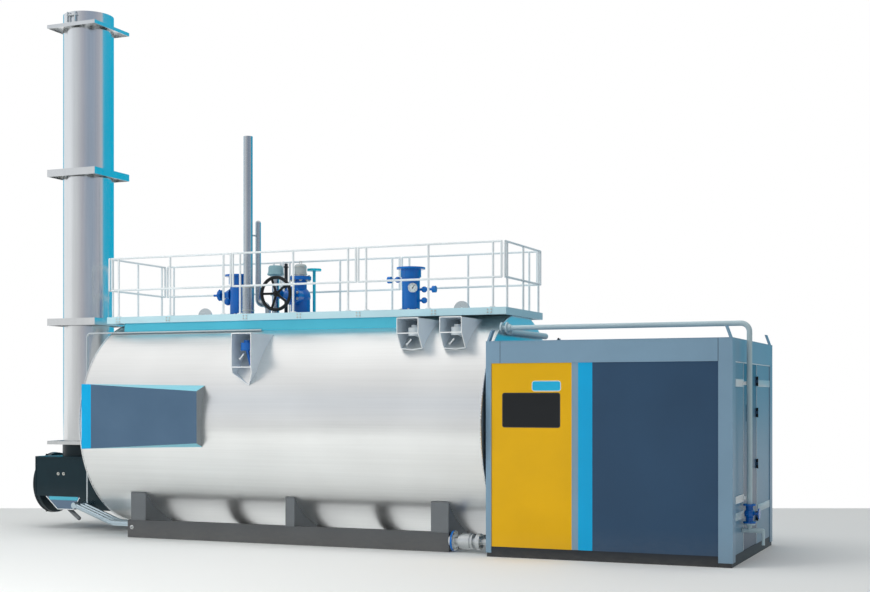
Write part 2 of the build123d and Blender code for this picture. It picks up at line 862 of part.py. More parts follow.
# A square frame: plate at the joint face with a skirt that points away from it
def add_stack_frame(face_z, direction):
    for size, depth, mode in (
        (stack_flange, stack_flange_h, Mode.ADD),
        (stack_flange - 2 * stack_flange_t, stack_flange_h - stack_flange_t, Mode.SUBTRACT),
    ):
        start_z = face_z if mode == Mode.ADD else face_z + direction * stack_flange_t
        with BuildSketch(Plane((stack_x, 0, start_z))) as frame:
            Rectangle(size, size)
        extrude(frame.sketch, amount=direction * depth, mode=mode)


def add_stack_tube(z0, z1):
    with BuildSketch(Plane((stack_x, 0, z0))) as tube:
        Circle(stack_r)
    extrude(tube.sketch, amount=z1 - z0)
    with BuildSketch(Plane((stack_x, 0, z0))) as bore:
        Circle(stack_r - stack_t)
    extrude(bore.sketch, amount=z1 - z0, mode=Mode.SUBTRACT)


with BuildPart() as stack_lower:
    add_stack_frame(stack_bottom_z, 1)
    add_stack_frame(stack_joint_low_z, -1)
    add_stack_tube(stack_bottom_z, stack_joint_low_z)
write_piece(stack_lower, "stack_lower")

with BuildPart() as stack_middle:
    add_stack_frame(stack_joint_low_z, 1)
    add_stack_frame(stack_joint_high_z, -1)
    add_stack_tube(stack_joint_low_z, stack_joint_high_z)
write_piece(stack_middle, "stack_middle")

with BuildPart() as stack_upper:
    add_stack_frame(stack_joint_high_z, 1)
    add_stack_frame(stack_crown_z, -1)
    add_stack_tube(stack_joint_high_z, stack_top_z)
write_piece(stack_upper, "stack_upper")

# Neck between the flue box and the stack
with BuildPart() as stack_neck:
    with BuildSketch(Plane((stack_x, 0, flue_top_z))) as neck:
        Circle(neck_r)
        Circle(stack_r - stack_t, mode=Mode.SUBTRACT)
    extrude(neck.sketch, amount=stack_bottom_z - flue_top_z)
write_piece(stack_neck, "stack_neck")

# Side outline of the flue box: full depth at the boiler, raised floor under the stack
def flue_outline(inset):
    with BuildSketch(Plane.XZ.offset(-flue_half_w + inset)) as outline:
        with BuildLine():
            Polyline(
                (shell_rear_x, flue_low_z), (flue_step_x, flue_low_z),
                (flue_step_x - flue_slope_l, flue_bottom_z), (flue_rear_x, flue_bottom_z),
                (flue_rear_x, flue_top_z), (shell_rear_x, flue_top_z), close=True,
            )
        make_face()
        if inset:
            offset(amount=-inset, kind=Kind.INTERSECTION, mode=Mode.REPLACE)
    return outline.sketch


# Flue box: sheet duct from the rear end plate to the foot of the stack, open into the neck
with BuildPart() as flue_box:
    extrude(flue_outline(0), amount=2 * flue_half_w)
    extrude(flue_outline(flue_t), amount=2 * (flue_half_w - flue_t), mode=Mode.SUBTRACT)
    with Locations((stack_x, 0, flue_top_z)):
        Hole(radius=stack_r - stack_t, depth=2 * flue_t)
write_piece(flue_box, "flue_box")

# Drum on the rear of the flue box: rolled body with a rounded door, hollow inside
with BuildPart() as flue_drum:
    with BuildSketch(Plane.YZ.offset(flue_rear_x - drum_l)) as drum:
        with Locations((0, drum_z)):
            Circle(drum_r)
    extrude(drum.sketch, amount=drum_l)
    fillet(flue_drum.edges().filter_by(GeomType.CIRCLE).sort_by(Axis.X)[0], radius=drum_edge_r)
    with BuildSketch(Plane.YZ.offset(flue_rear_x - drum_l + flue_t)) as drum_room:
        with Locations((0, drum_z)):
            Circle(drum_r - drum_edge_r)
    extrude(drum_room.sketch, amount=drum_l - 2 * flue_t, mode=Mode.SUBTRACT)
write_piece(flue_drum, "flue_drum")

# Side outline of the ash hopper under the raised floor, narrower at its foot
def cradle_outline(inset):
    with BuildSketch(Plane.XZ.offset(-flue_half_w + cradle_inset + inset)) as outline:
        with BuildLine():
            Polyline(
                (cradle_top_x0, flue_bottom_z), (cradle_top_x1, flue_bottom_z),
                (cradle_low_x1, cradle_low_z), (cradle_low_x0, cradle_low_z), close=True,
            )
        make_face()
        if inset:
            offset(amount=-inset, kind=Kind.INTERSECTION, mode=Mode.REPLACE)
    return outline.sketch


with BuildPart() as flue_cradle:
    extrude(cradle_outline(0), amount=2 * (flue_half_w - cradle_inset))
    room_w = 2 * (flue_half_w - cradle_inset - flue_t)
    extrude(cradle_outline(flue_t), amount=room_w, mode=Mode.SUBTRACT)
write_piece(flue_cradle, "flue_cradle")

# Drain pipes: three pipes from a header on the flue box down to the rear saddle
drain_slope = (drain_top_z - drain_z) / (drain_bend_x - drain_top_x)
with BuildPart() as drain_pipes:
    for y in drain_ys:
        with BuildLine(Plane.XZ.offset(-y)) as drain_path:
            FilletPolyline(
                (saddle_rear_x - saddle_end_w / 2, drain_z), (drain_bend_x, drain_z),
                (drain_top_x, drain_top_z), radius=drain_bend_r,
            )
        with BuildSketch(Plane(drain_path.line @ 0, z_dir=drain_path.line % 0)) as drain_section:
            Circle(drain_r)
        sweep(drain_section.sketch, path=drain_path.line)
    add_bar(
        (drain_top_x, drain_ys[0] - drain_r, drain_top_z),
        (drain_top_x, -flue_half_w - seat_gap, drain_top_z),
        drain_header_r,
    )
write_piece(drain_pipes, "drain_pipes")

# Impulse pipe: thin pipe along the shell's shoulder that drops onto the inner drain pipe
impulse_y = -drain_ys[-1]
impulse_z = seat_height(impulse_y - impulse_r) + impulse_r
drain_rise = drain_slope * (drain_bend_x - impulse_x0 + impulse_r)
drain_half_height = drain_r * (1 + drain_slope ** 2) ** 0.5
impulse_end_z = drain_z + drain_rise + drain_half_height + seat_gap
with BuildPart() as impulse_pipe:
    with BuildLine(Plane.XZ.offset(impulse_y)) as impulse_path:
        FilletPolyline(
            (impulse_x1, impulse_z), (impulse_x0, impulse_z), (impulse_x0, impulse_end_z),
            radius=impulse_bend_r,
        )
    with BuildSketch(Plane(impulse_path.line @ 0, z_dir=impulse_path.line % 0)) as impulse_section:
        Circle(impulse_r)
    sweep(impulse_section.sketch, path=impulse_path.line)
write_piece(impulse_pipe, "impulse_pipe")

# Cabin base: floor plate on ribs, standing on the ground, notched for the corner posts
cabin_y0 = -cabin_half_w
cabin_y1 = cabin_half_w
base_in = wall_recess
with BuildPart() as cabin_base:
    block(
        (cabin_x0 + base_in, cabin_y0 + base_in, 0),
        (cabin_x1 - base_in, cabin_y1 - base_in, base_h),
    )
    pocket_w = (cabin_l - 2 * base_in - 4 * base_rib_w) / 3
    pocket_d = (2 * (cabin_half_w - base_in) - 3 * base_rib_w) / 2
    pocket_pitch = (pocket_w + base_rib_w, pocket_d + base_rib_w)
    with BuildSketch(Plane(((cabin_x0 + cabin_x1) / 2, 0, 0))) as pockets:
        with GridLocations(*pocket_pitch, 3, 2):
            Rectangle(pocket_w, pocket_d)
    extrude(pockets.sketch, amount=base_h - floor_t, mode=Mode.SUBTRACT)
    for x0, x1 in ((cabin_x0, cabin_x0 + post_left_w), (cabin_x1 - post_right_w, cabin_x1)):
        for y0, y1 in ((cabin_y0, cabin_y0 + post_d), (cabin_y1 - post_d, cabin_y1)):
            block((x0, y0, cabin_foot_h), (x1, y1, base_h), mode=Mode.SUBTRACT)
write_piece(cabin_base, "cabin_base")

# Corner posts
with BuildPart() as cabin_posts:
    for x0, x1 in ((cabin_x0, cabin_x0 + post_left_w), (cabin_x1 - post_right_w, cabin_x1)):
        for y0, y1 in ((cabin_y0, cabin_y0 + post_d), (cabin_y1 - post_d, cabin_y1)):
            block((x0, y0, cabin_foot_h), (x1, y1, band_z))
write_piece(cabin_posts, "cabin_posts")

# Top band: deep frame round the roof
with BuildPart() as cabin_top_band:
    for y0, y1 in ((cabin_y0, cabin_y0 + band_t), (cabin_y1 - band_t, cabin_y1)):
        block((cabin_x0, y0, band_z), (cabin_x1, y1, cabin_top_z))
    for x0, x1 in ((cabin_x0, cabin_x0 + band_t), (cabin_x1 - band_t, cabin_x1)):
        block((x0, cabin_y0 + band_t, band_z), (x1, cabin_y1 - band_t, cabin_top_z))
write_piece(cabin_top_band, "cabin_top_band")

# Roof sheet between the bands, a little below their top edge
with BuildPart() as cabin_roof:
    block(
        (cabin_x0 + band_t, cabin_y0 + band_t, cabin_top_z - 2 * roof_t),
        (cabin_x1 - band_t, cabin_y1 - band_t, cabin_top_z - roof_t),
    )
write_piece(cabin_roof, "cabin_roof")

# Front wall: yellow panel, mullion, accent strip and dark panel from left to right
panel_x = [cabin_x0 + post_left_w]
for width in (yellow_w, mullion_w, accent_w):
    panel_x.append(panel_x[-1] + width)
panel_x.append(cabin_x1 - post_right_w)
front_y0 = cabin_y0 + wall_recess
front_names = ["cabin_yellow_panel", "cabin_mullion", "cabin_accent_strip", "cabin_dark_panel"]
for left, right, name in zip(panel_x, panel_x[1:], front_names):
    with BuildPart() as front_panel:
        block((left, front_y0, base_h), (right, front_y0 + wall_t, band_z))
    write_piece(front_panel, name)

# Plain walls: back wall, inner end wall and the outer end wall either side of the doorway
inner_x0 = cabin_x0 + wall_recess
outer_x1 = cabin_x1 - wall_recess
outer_x0 = outer_x1 - wall_t
door_back_y = door_front_y + door_w
side_y = cabin_half_w - post_d
with BuildPart() as cabin_walls:
    block((panel_x[0], -front_y0 - wall_t, base_h), (panel_x[-1], -front_y0, band_z))
    block((inner_x0, -side_y, base_h), (inner_x0 + wall_t, side_y, band_z))
    block((outer_x0, -side_y, base_h), (outer_x1, door_front_y - door_gap, band_z))
    block((outer_x0, door_back_y + door_gap, base_h), (outer_x1, side_y, band_z))
write_piece(cabin_walls, "cabin_walls")

# Door hinges: pivots stand proud of the wall behind the door's back edge
hinge_x = outer_x1 + hinge_r + hinge_standoff
hinge_y = door_back_y + door_gap / 2
knuckle_l = hinge_l / 3
with BuildPart() as door_hinge_pins:
    for z in hinge_zs:
        block(
            (outer_x1, hinge_y + door_gap, z - hinge_l / 2),
            (outer_x1 + hinge_plate_t, hinge_y + door_gap + hinge_plate_w, z + hinge_l / 2),
        )
        for z0 in (z - hinge_l / 2, z + hinge_l / 2 - knuckle_l):
            add_steps(hinge_x, hinge_y, [(hinge_r, z0, z0 + knuckle_l)])
            block(
                (outer_x1 + 0.3, hinge_y, z0),
                (outer_x1 + 0.3 + hinge_plate_t, hinge_y + door_gap + 1, z0 + knuckle_l),
            )
        add_steps(hinge_x, hinge_y, [(hinge_pin_r, z - hinge_l / 2, z + hinge_l / 2)])
write_piece(door_hinge_pins, "door_hinge_pins")

# Door: flush leaf with its middle knuckles and a recessed pull
door_z0 = base_h + door_gap
door_z1 = band_z - door_gap
with BuildPart() as cabin_door:
    block((outer_x0, door_front_y, door_z0), (outer_x1, door_back_y, door_z1))
    block(
        (outer_x1 - pull_x, door_front_y + pull_inset, pull_z0),
        (outer_x1, door_front_y + pull_inset + pull_w, pull_z1),
        mode=Mode.SUBTRACT,
    )
    for z in hinge_zs:
        half = knuckle_l / 2 - knuckle_gap
        block(
            (outer_x1, door_back_y - hinge_plate_w, z - half),
            (outer_x1 + hinge_plate_t, hinge_y, z + half),
        )
        add_steps(hinge_x, hinge_y, [(hinge_r, z - half, z + half)])
        with Locations((hinge_x, hinge_y, z + half)):
            Hole(radius=hinge_pin_r + hinge_bore_gap, depth=2 * half)
write_piece(cabin_door, "cabin_door")

# Lifting tabs: plates that lean inwards over the four corners of the roof
with BuildPart() as cabin_lifting_tabs:
    for x, lean in ((cabin_x0 + 30, lift_tab_lean), (cabin_x1 - 30, -lift_tab_lean)):
        for y in (cabin_y0 + lift_tab_w / 2, cabin_y1 - lift_tab_w / 2):
            with BuildSketch(Plane.XZ.offset(-y - lift_tab_w / 2)) as tab:
                shift = lift_tab_l * math.tan(math.radians(lean))
                with BuildLine():
                    Polyline(
                        (x - lift_tab_t / 2, cabin_top_z), (x + lift_tab_t / 2, cabin_top_z),
                        (x + lift_tab_t / 2 + shift, cabin_top_z + lift_tab_l),
                        (x - lift_tab_t / 2 + shift, cabin_top_z + lift_tab_l), close=True,
                    )
                make_face()
            extrude(tab.sketch, amount=lift_tab_w)
write_piece(cabin_lifting_tabs, "cabin_lifting_tabs")

# Roof pipe: from the front end plate over the cabin and down its end wall
drop_x = cabin_x1 + roof_pipe_standoff
with BuildPart() as roof_pipe:
    with BuildLine(Plane.XZ.offset(-roof_pipe_y)) as roof_path:
        FilletPolyline(
            (shell_front_x, roof_pipe_z), (drop_x, roof_pipe_z), (drop_x, end_valve_top_z),
            radius=roof_pipe_bend,
        )
    with BuildSketch(Plane(roof_path.line @ 0, z_dir=roof_path.line % 0)) as roof_section:
        Circle(roof_pipe_r)
    sweep(roof_section.sketch, path=roof_path.line)
    add_bar((shell_front_x, roof_pipe_y, roof_pipe_z), (shell_front_x + 24, roof_pipe_y, roof_pipe_z), 90)
write_piece(roof_pipe, "roof_pipe")

# Pipe brackets: flat rails across the narrow wall panel that hold the drop
bracket_t = drop_x - roof_pipe_r - outer_x1 - seat_gap
bracket_zs = (2500, 900)
with BuildPart() as pipe_brackets:
    for z in bracket_zs:
        block(
            (outer_x1, cabin_y0 + post_d, z - 50),
            (outer_x1 + 20, roof_pipe_y + 40, z + 50),
        )
        block(
            (outer_x1 + 20, roof_pipe_y - 30, z - 25),
            (outer_x1 + bracket_t, roof_pipe_y + 30, z + 25),
        )
write_piece(pipe_brackets, "pipe_brackets")

# End valve: globe valve at the foot of the drop, with a small handwheel
with BuildPart() as end_valve:
    add_steps(drop_x, roof_pipe_y, [
        (end_flange_r, end_valve_top_z - end_flange_t, end_valve_top_z),
        (end_body_r, end_valve_bottom_z, end_valve_top_z),
        (end_flange_r, end_valve_bottom_z, end_valve_bottom_z + end_flange_t),
    ])
    with Locations((drop_x, roof_pipe_y, (end_valve_top_z + end_valve_bottom_z) / 2)):
        Sphere(74)
    valve_mid_z = (end_valve_top_z + end_valve_bottom_z) / 2
    add_bar((drop_x, roof_pipe_y, valve_mid_z), (drop_x + 140, roof_pipe_y, valve_mid_z), 20)
    add_bar(
        (drop_x + end_handle_x0, roof_pipe_y, valve_mid_z),
        (drop_x + end_handle_x1, roof_pipe_y, valve_mid_z), end_handle_r,
    )
write_piece(end_valve, "end_valve")

# End branch: tee below the end valve, from the wall panel out to a drain elbow
with BuildPart() as end_branch:
    add_steps(drop_x, roof_pipe_y, [
        (tee_flange_r, end_valve_bottom_z - tee_flange_t, end_valve_bottom_z),
        (tee_r, tee_z, end_valve_bottom_z),
    ])
    elbow_x = drop_x + tee_reach
    add_bar((outer_x1, roof_pipe_y, tee_z), (elbow_x, roof_pipe_y, tee_z), tee_r)
    add_bar(
        (elbow_x, roof_pipe_y, tee_z + elbow_rise),
        (elbow_x, roof_pipe_y, tee_z - tee_drop), elbow_r,
    )
write_piece(end_branch, "end_branch")

# Front header: capped pipe across the top of the front end plate
header_x = shell_front_x + header_standoff
with BuildPart() as front_header:
    add_bar((header_x, header_y0, header_z), (header_x, header_y1, header_z), header_r)
    with Locations((header_x, header_y1, header_z)):
        Sphere(header_r)
    for y in header_branch_ys:
        add_bar((shell_front_x, y, header_z), (header_x, y, header_z), header_branch_r)
write_piece(front_header, "front_header")

# Feed valve: flanges and round body on the feed pipe between the skid and the cabin
feed_end_x = cabin_x0
feed_steps = [
    (45, skid_front_x, feed_end_x), (85, skid_front_x, skid_front_x + 24),
    (150, 2733, 2763), (60, 2763, 2843), (105, 2843, 2888), (120, 2888, 3018), (105, 3018, 3058),
    (62, 3058, 3118), (120, 3118, 3178),
]
with BuildPart() as feed_valve:
    for radius, x0, x1 in feed_steps:
        add_bar((x0, feed_y, feed_z), (x1, feed_y, feed_z), radius)
write_piece(feed_valve, "feed_valve")
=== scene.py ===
import math

import bmesh
import bpy
from mathutils import Matrix, Vector


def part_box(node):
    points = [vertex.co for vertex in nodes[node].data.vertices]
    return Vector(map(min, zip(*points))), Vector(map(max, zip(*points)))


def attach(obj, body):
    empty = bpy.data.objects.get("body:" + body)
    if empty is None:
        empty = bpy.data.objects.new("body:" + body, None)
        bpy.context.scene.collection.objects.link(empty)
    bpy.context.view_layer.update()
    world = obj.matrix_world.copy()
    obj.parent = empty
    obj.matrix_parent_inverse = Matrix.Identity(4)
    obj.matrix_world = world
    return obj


# Horizontal steam boiler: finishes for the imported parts, and the small fittings on them.
# Metres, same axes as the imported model: X along the boiler towards the cabin, Y back, Z up.

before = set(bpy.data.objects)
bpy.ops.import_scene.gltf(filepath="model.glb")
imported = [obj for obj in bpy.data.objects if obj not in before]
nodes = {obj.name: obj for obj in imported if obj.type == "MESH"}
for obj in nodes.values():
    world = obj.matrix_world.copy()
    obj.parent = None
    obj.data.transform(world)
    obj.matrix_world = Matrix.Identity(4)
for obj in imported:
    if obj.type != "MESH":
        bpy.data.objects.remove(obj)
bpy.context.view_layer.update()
print("frame loaded:", len(nodes), "parts")

alongX = Vector((1, 0, 0))
alongY = Vector((0, 1, 0))
alongZ = Vector((0, 0, 1))


# Colours are written as sRGB hex and turned to linear here
def linear(hexText, alpha=1.0):
    values = []
    for i in (1, 3, 5):
        c = int(hexText[i:i + 2], 16) / 255
        values.append(c / 12.92 if c <= 0.04045 else ((c + 0.055) / 1.055) ** 2.4)
    return (*values, alpha)


# Adds one node, sets its settings and its inputs; an input is a value or another node's output
def addNode(tree, kind, inputs=None, **settings):
    node = tree.nodes.new(kind)
    for name, value in settings.items():
        setattr(node, name, value)
    for name, value in (inputs or {}).items():
        if isinstance(value, bpy.types.NodeSocket):
            tree.links.new(value, node.inputs[name])
        else:
            node.inputs[name].default_value = value
    return node


# An empty node material with one shader joined to its output
def startMaterial(name, **values):
    material = bpy.data.materials.new(name)
    material.use_nodes = True
    tree = material.node_tree
    tree.nodes.clear()
    shader = addNode(tree, "ShaderNodeBsdfPrincipled", values)
    addNode(tree, "ShaderNodeOutputMaterial", {"Surface": shader.outputs["BSDF"]})
    return material, tree, shader


# Object coordinates stretched by a size in metres along each axis
def objectCoordinates(tree, size):
    where = addNode(tree, "ShaderNodeTexCoord")
    scale = tuple(1 / s for s in size)
    return addNode(tree, "ShaderNodeMapping", {"Vector": where.outputs["Object"], "Scale": scale}).outputs[0]


# Noise whose grains have the given sizes in metres
def grain(tree, size, detail=3.0, roughness=0.5):
    return addNode(
        tree, "ShaderNodeTexNoise",
        {"Vector": objectCoordinates(tree, size), "Scale": 1.0, "Detail": detail, "Roughness": roughness},
    ).outputs["Fac"]


# Colours or grey values placed along a 0 to 1 input
def ramp(tree, fac, stops):
    node = addNode(tree, "ShaderNodeValToRGB", {"Fac": fac})
    band = node.color_ramp
    while len(band.elements) < len(stops):
        band.elements.new(0.5)
    for element, (place, colour) in zip(band.elements, stops):
        element.position = place
        element.color = colour if isinstance(colour, tuple) else (colour, colour, colour, 1)
    return node.outputs["Color"]


def mixColour(tree, fac, a, b, blend="MIX"):
    node = addNode(tree, "ShaderNodeMix", {0: fac, 6: a, 7: b}, data_type="RGBA", blend_type=blend)
    return node.outputs[2]


def addBump(tree, shader, height, strength, distance):
    node = addNode(tree, "ShaderNodeBump", {"Height": height, "Strength": strength, "Distance": distance})
    tree.links.new(node.outputs["Normal"], shader.inputs["Normal"])


def setMaterial(obj, material):
    obj.data.materials.clear()
    obj.data.materials.append(material)


def dress(material, *names):
    for name in names:
        setMaterial(nodes[name], material)


# Rolled stainless sheet: fine drawn lines along one direction, faint darker patches from handling
def stainless(name, tint, lineSize, roughLow, roughHigh, patchSize=(1.4, 1.4, 1.4), bump=0.06):
    material, tree, shader = startMaterial(name, Metallic=1.0)
    lines = grain(tree, lineSize, 2.0)
    patches = grain(tree, patchSize, 2.0)
    pale = linear(tint)
    deep = tuple(c * 0.92 for c in pale[:3]) + (1,)
    patchTone = ramp(tree, patches, [(0.3, deep), (0.75, pale)])
    tone = mixColour(tree, 0.10, patchTone, ramp(tree, lines, [(0.3, 0.55), (0.7, 1.0)]), "MULTIPLY")
    tree.links.new(tone, shader.inputs["Base Color"])
    rough = addNode(
        tree, "ShaderNodeMapRange", {"Value": lines, "To Min": roughLow, "To Max": roughHigh},
    ).outputs[0]
    tree.links.new(rough, shader.inputs["Roughness"])
    addBump(tree, shader, lines, bump, 0.001)
    return material


# Powder coat on sheet steel: slight orange peel, colour a little uneven, dust low down
def powderCoat(name, colour, rough=0.38, uneven=0.08, dust=0.0, dustTop=0.6, peel=0.05, coat=0.0):
    material, tree, shader = startMaterial(name)
    base = linear(colour)
    darker = tuple(c * (1 - uneven) for c in base[:3]) + (1,)
    lighter = tuple(min(1, c * (1 + uneven)) for c in base[:3]) + (1,)
    patches = grain(tree, (0.9, 0.9, 0.9), 4.0)
    tone = ramp(tree, patches, [(0.3, darker), (0.7, lighter)])
    if dust:
        where = addNode(tree, "ShaderNodeTexCoord").outputs["Object"]
        height = addNode(tree, "ShaderNodeSeparateXYZ", {"Vector": where}).outputs["Z"]
        low = addNode(
            tree, "ShaderNodeMapRange",
            {"Value": height, "From Min": 0.0, "From Max": dustTop, "To Min": dust, "To Max": 0.0},
        ).outputs[0]
        spots = grain(tree, (0.12, 0.12, 0.05), 5.0, 0.6)
        amount = addNode(tree, "ShaderNodeMath", {0: low, 1: spots}, operation="MULTIPLY").outputs[0]
        tone = mixColour(tree, amount, tone, linear("#8C8880"))
    tree.links.new(tone, shader.inputs["Base Color"])
    fine = grain(tree, (0.02, 0.02, 0.02), 2.0)
    roughness = addNode(
        tree, "ShaderNodeMapRange", {"Value": patches, "To Min": rough - 0.05, "To Max": rough + 0.06},
    ).outputs[0]
    tree.links.new(roughness, shader.inputs["Roughness"])
    shader.inputs["Coat Weight"].default_value = coat
    shader.inputs["Specular IOR Level"].default_value = 0.22   # matt powder coat mirrors little
    shader.inputs["Coat Roughness"].default_value = 0.12
    addBump(tree, shader, fine, peel, 0.001)   # real peel is about 3 mm; 20 mm is what still shows
    return material


claddingSteel = stainless(
    "Stainless cladding, drawn round the shell", "#F6F7F6", (2.5, 0.03, 0.03), 0.26, 0.36,
)
endSteel = stainless("Stainless end sheet", "#DDE0E1", (0.04, 0.04, 1.2), 0.30, 0.40)
stackSteel = stainless(
    "Stainless stack tube, rolled", "#E4E6E7", (0.02, 0.02, 1.8), 0.17, 0.26, (0.7, 0.7, 1.6),
)
frameSteel = stainless("Stainless angle, bead blasted", "#E3E8EA", (0.05, 0.05, 0.05), 0.30, 0.42)
hoodSteel = powderCoat("Galvanised hood sheet, spangled satin", "#D3E0EA", 0.42, 0.07)
pipeSteel = stainless("Stainless pipe, drawn", "#CFD8DC", (0.5, 0.01, 0.01), 0.20, 0.30, (0.5, 0.5, 0.5))
riserSteel = stainless(
    "Stainless riser pipe, drawn", "#C4CBD0", (0.01, 0.01, 0.6), 0.20, 0.30, (0.3, 0.3, 0.7),
)
drainSteel = stainless(
    "Stainless drain pipe, drawn", "#C2D3DC", (0.5, 0.01, 0.01), 0.20, 0.32, (0.5, 0.5, 0.5),
)
framePaint = powderCoat("Blue-grey powder coat, cabin frame", "#7C9BB2", 0.36, 0.05, 0.25, 0.5)
wallPaint = powderCoat("Grey-blue powder coat, cabin walls", "#6A8FA8", 0.38, 0.06, 0.25, 0.5)
navyPaint = powderCoat("Navy powder coat, panels", "#2E4B68", 0.34, 0.06, 0.18, 0.5)
yellowPaint = powderCoat("Yellow powder coat, panel", "#E2AF00", 0.36, 0.05, 0.12, 0.4)
cyanPaint = powderCoat("Cyan powder coat, accent strip", "#00A5DC", 0.34, 0.05)
skidPaint = powderCoat("Grey primer enamel on rolled steel", "#56595C", 0.55, 0.12, 0.35, 0.35, 0.12)
saddlePaint = powderCoat("Grey primer enamel, saddles", "#6C7175", 0.52, 0.10, 0.2, 0.5, 0.12)
basePaint = powderCoat("Near-black chassis enamel", "#2B3036", 0.5, 0.10, 0.3, 0.15)
fluePaint = powderCoat("Heat-proof black-green enamel, flue box", "#10272F", 0.30, 0.18, 0.2, 0.8, 0.08)
neckPaint = powderCoat("Heat-proof black enamel, neck", "#0F1E24", 0.32, 0.15, 0.0)
valvePaint = powderCoat("Blue valve enamel", "#0560B4", 0.22, 0.10, 0.0, 0.6, 0.10, 0.4)
pressurePaint = powderCoat("Bright blue valve enamel", "#056CC0", 0.22, 0.10, 0.0, 0.6, 0.10, 0.4)
capPaint = powderCoat("Grey aluminium paint, silencer cap", "#A9B2B4", 0.42, 0.08)
wheelPaint = powderCoat("Black enamel on cast iron", "#1B1E20", 0.40, 0.15, 0.0, 0.6, 0.2)
platformPaint = powderCoat("Pale grey-blue enamel, walkway", "#BCDFE9", 0.40, 0.05)
railPaint = powderCoat("Pale grey enamel, railings", "#E0E7EA", 0.35, 0.06)
# The support webs' cyan is a painted cyan reflection, set as their base colour
supportsPaintedReflection = powderCoat("Walkway supports, painted cyan reflection", "#52BCD6", 0.36, 0.06)
tealPipe = powderCoat("Pale grey-blue enamel on pipe", "#B4C9D0", 0.32, 0.06)
trayPaint = powderCoat("Slate blue enamel, hopper", "#62768C", 0.38, 0.08)
clearBlue = powderCoat("Bright cyan enamel, tapping", "#14BFD8", 0.28, 0.05, 0.0, 0.6, 0.06, 0.3)
feedSteel = stainless(
    "Brushed stainless valve body", "#DDE1E2", (0.02, 0.02, 0.02), 0.30, 0.46, (0.08, 0.08, 0.08),
)
print("finishes ready")

dress(claddingSteel, "boiler_shell")
dress(endSteel, "rear_end_plate", "front_end_plate")
dress(stackSteel, "stack_lower", "stack_middle", "stack_upper")
dress(hoodSteel, "low_instrument_hood", "high_instrument_hoods")
dress(riserSteel, "vent_pipe", "bleed_pipe")
dress(clearBlue, "steam_tapping")
dress(feedSteel, "feed_valve")
dress(pipeSteel, "impulse_pipe", "lifting_lugs")
dress(tealPipe, "roof_pipe", "front_header", "end_branch")
dress(drainSteel, "drain_pipes")
dress(framePaint, "cabin_posts", "cabin_top_band", "cabin_mullion", "cabin_lifting_tabs")
dress(wallPaint, "cabin_walls", "cabin_roof")
dress(navyPaint, "cabin_dark_panel", "cabin_door")
dress(yellowPaint, "cabin_yellow_panel")
dress(cyanPaint, "cabin_accent_strip", "flank_panel_strip")
dress(skidPaint, "skid_beams", "skid_cross_members")
dress(saddlePaint, "saddles")
dress(basePaint, "cabin_base")
dress(fluePaint, "flue_box", "flue_drum")
dress(neckPaint, "stack_neck")
dress(trayPaint, "flue_cradle")
dress(valvePaint, "rear_nozzle", "main_steam_valve", "end_valve")

# Level instruments: blue head in the rear hood, cast grey ones in the two front hoods
instrumentPaint, tree, shader = startMaterial("Enamelled cast instrument heads", Roughness=0.34)
where = addNode(tree, "ShaderNodeTexCoord").outputs["Object"]
along = addNode(tree, "ShaderNodeSeparateXYZ", {"Vector": where}).outputs["X"]
frontward = addNode(tree, "ShaderNodeMath", {0: along, 1: 0.5}, operation="GREATER_THAN").outputs[0]
tree.links.new(mixColour(tree, frontward, linear("#0560B4"), linear("#C9D2D7")), shader.inputs["Base Color"])
dress(instrumentPaint, "level_instruments")

# Flank panel: navy powder coat on its face; the pale cyan on the sloping returns is a painted cyan reflection
# and the grey on the end is painted light, both set by which way the face looks
panelPaintAndPaintedLight, tree, shader = startMaterial("Navy powder coat with pale cyan returns", Roughness=0.36)
shader.inputs["Specular IOR Level"].default_value = 0.22
facing = addNode(tree, "ShaderNodeTexCoord").outputs["Normal"]
sides = addNode(tree, "ShaderNodeSeparateXYZ", {"Vector": facing}).outputs
upright = addNode(tree, "ShaderNodeMath", {0: sides["Z"]}, operation="ABSOLUTE").outputs[0]
isReturn = addNode(tree, "ShaderNodeMath", {0: upright, 1: 0.35}, operation="GREATER_THAN").outputs[0]
isEnd = addNode(tree, "ShaderNodeMath", {0: sides["X"], 1: 0.7}, operation="GREATER_THAN").outputs[0]
patches = grain(tree, (0.9, 0.9, 0.9), 4.0)
face = ramp(tree, patches, [(0.3, linear("#48637D")), (0.7, linear("#4F6A84"))])
# Painted cyan reflection on the returns and painted light on the end, laid over the navy face
withPaintedReturnReflection = mixColour(tree, isReturn, face, linear("#7CCBDD"))
tree.links.new(mixColour(tree, isEnd, withPaintedReturnReflection, linear("#8E9598")), shader.inputs["Base Color"])
dress(panelPaintAndPaintedLight, "flank_panel")
dress(pressurePaint, "front_nozzle")
dress(capPaint, "steam_valve_cap")
dress(wheelPaint, "steam_handwheel", "door_hinge_pins")
dress(platformPaint, "walkway_edge_beams", "walkway_deck")
# Support webs get the painted cyan reflection as their colour
dress(supportsPaintedReflection, "walkway_supports")
dress(railPaint, "front_railings", "back_railings", "end_railings", "pipe_brackets")


# Turns a shape made round +Z so that it stands at a point and looks along a way
def placed(place, way=(0, 0, 1), turn=0.0):
    turned = Vector(way).to_track_quat("Z", "Y").to_matrix().to_4x4()
    return Matrix.Translation(Vector(place)) @ turned @ Matrix.Rotation(turn, 4, "Z")


# Bevels the sharp edges of the vertices just made
def soften(bm, verts, width, segments=2):
    edges = {edge for vert in verts for edge in vert.link_edges}
    sharp = [e for e in edges if len(e.link_faces) == 2 and e.calc_face_angle(0) > 0.6]
    bmesh.ops.bevel(
        bm, geom=sharp, offset=width, offset_type="OFFSET", segments=segments, profile=0.5,
        affect="EDGES", material=-1, clamp_overlap=True,
    )


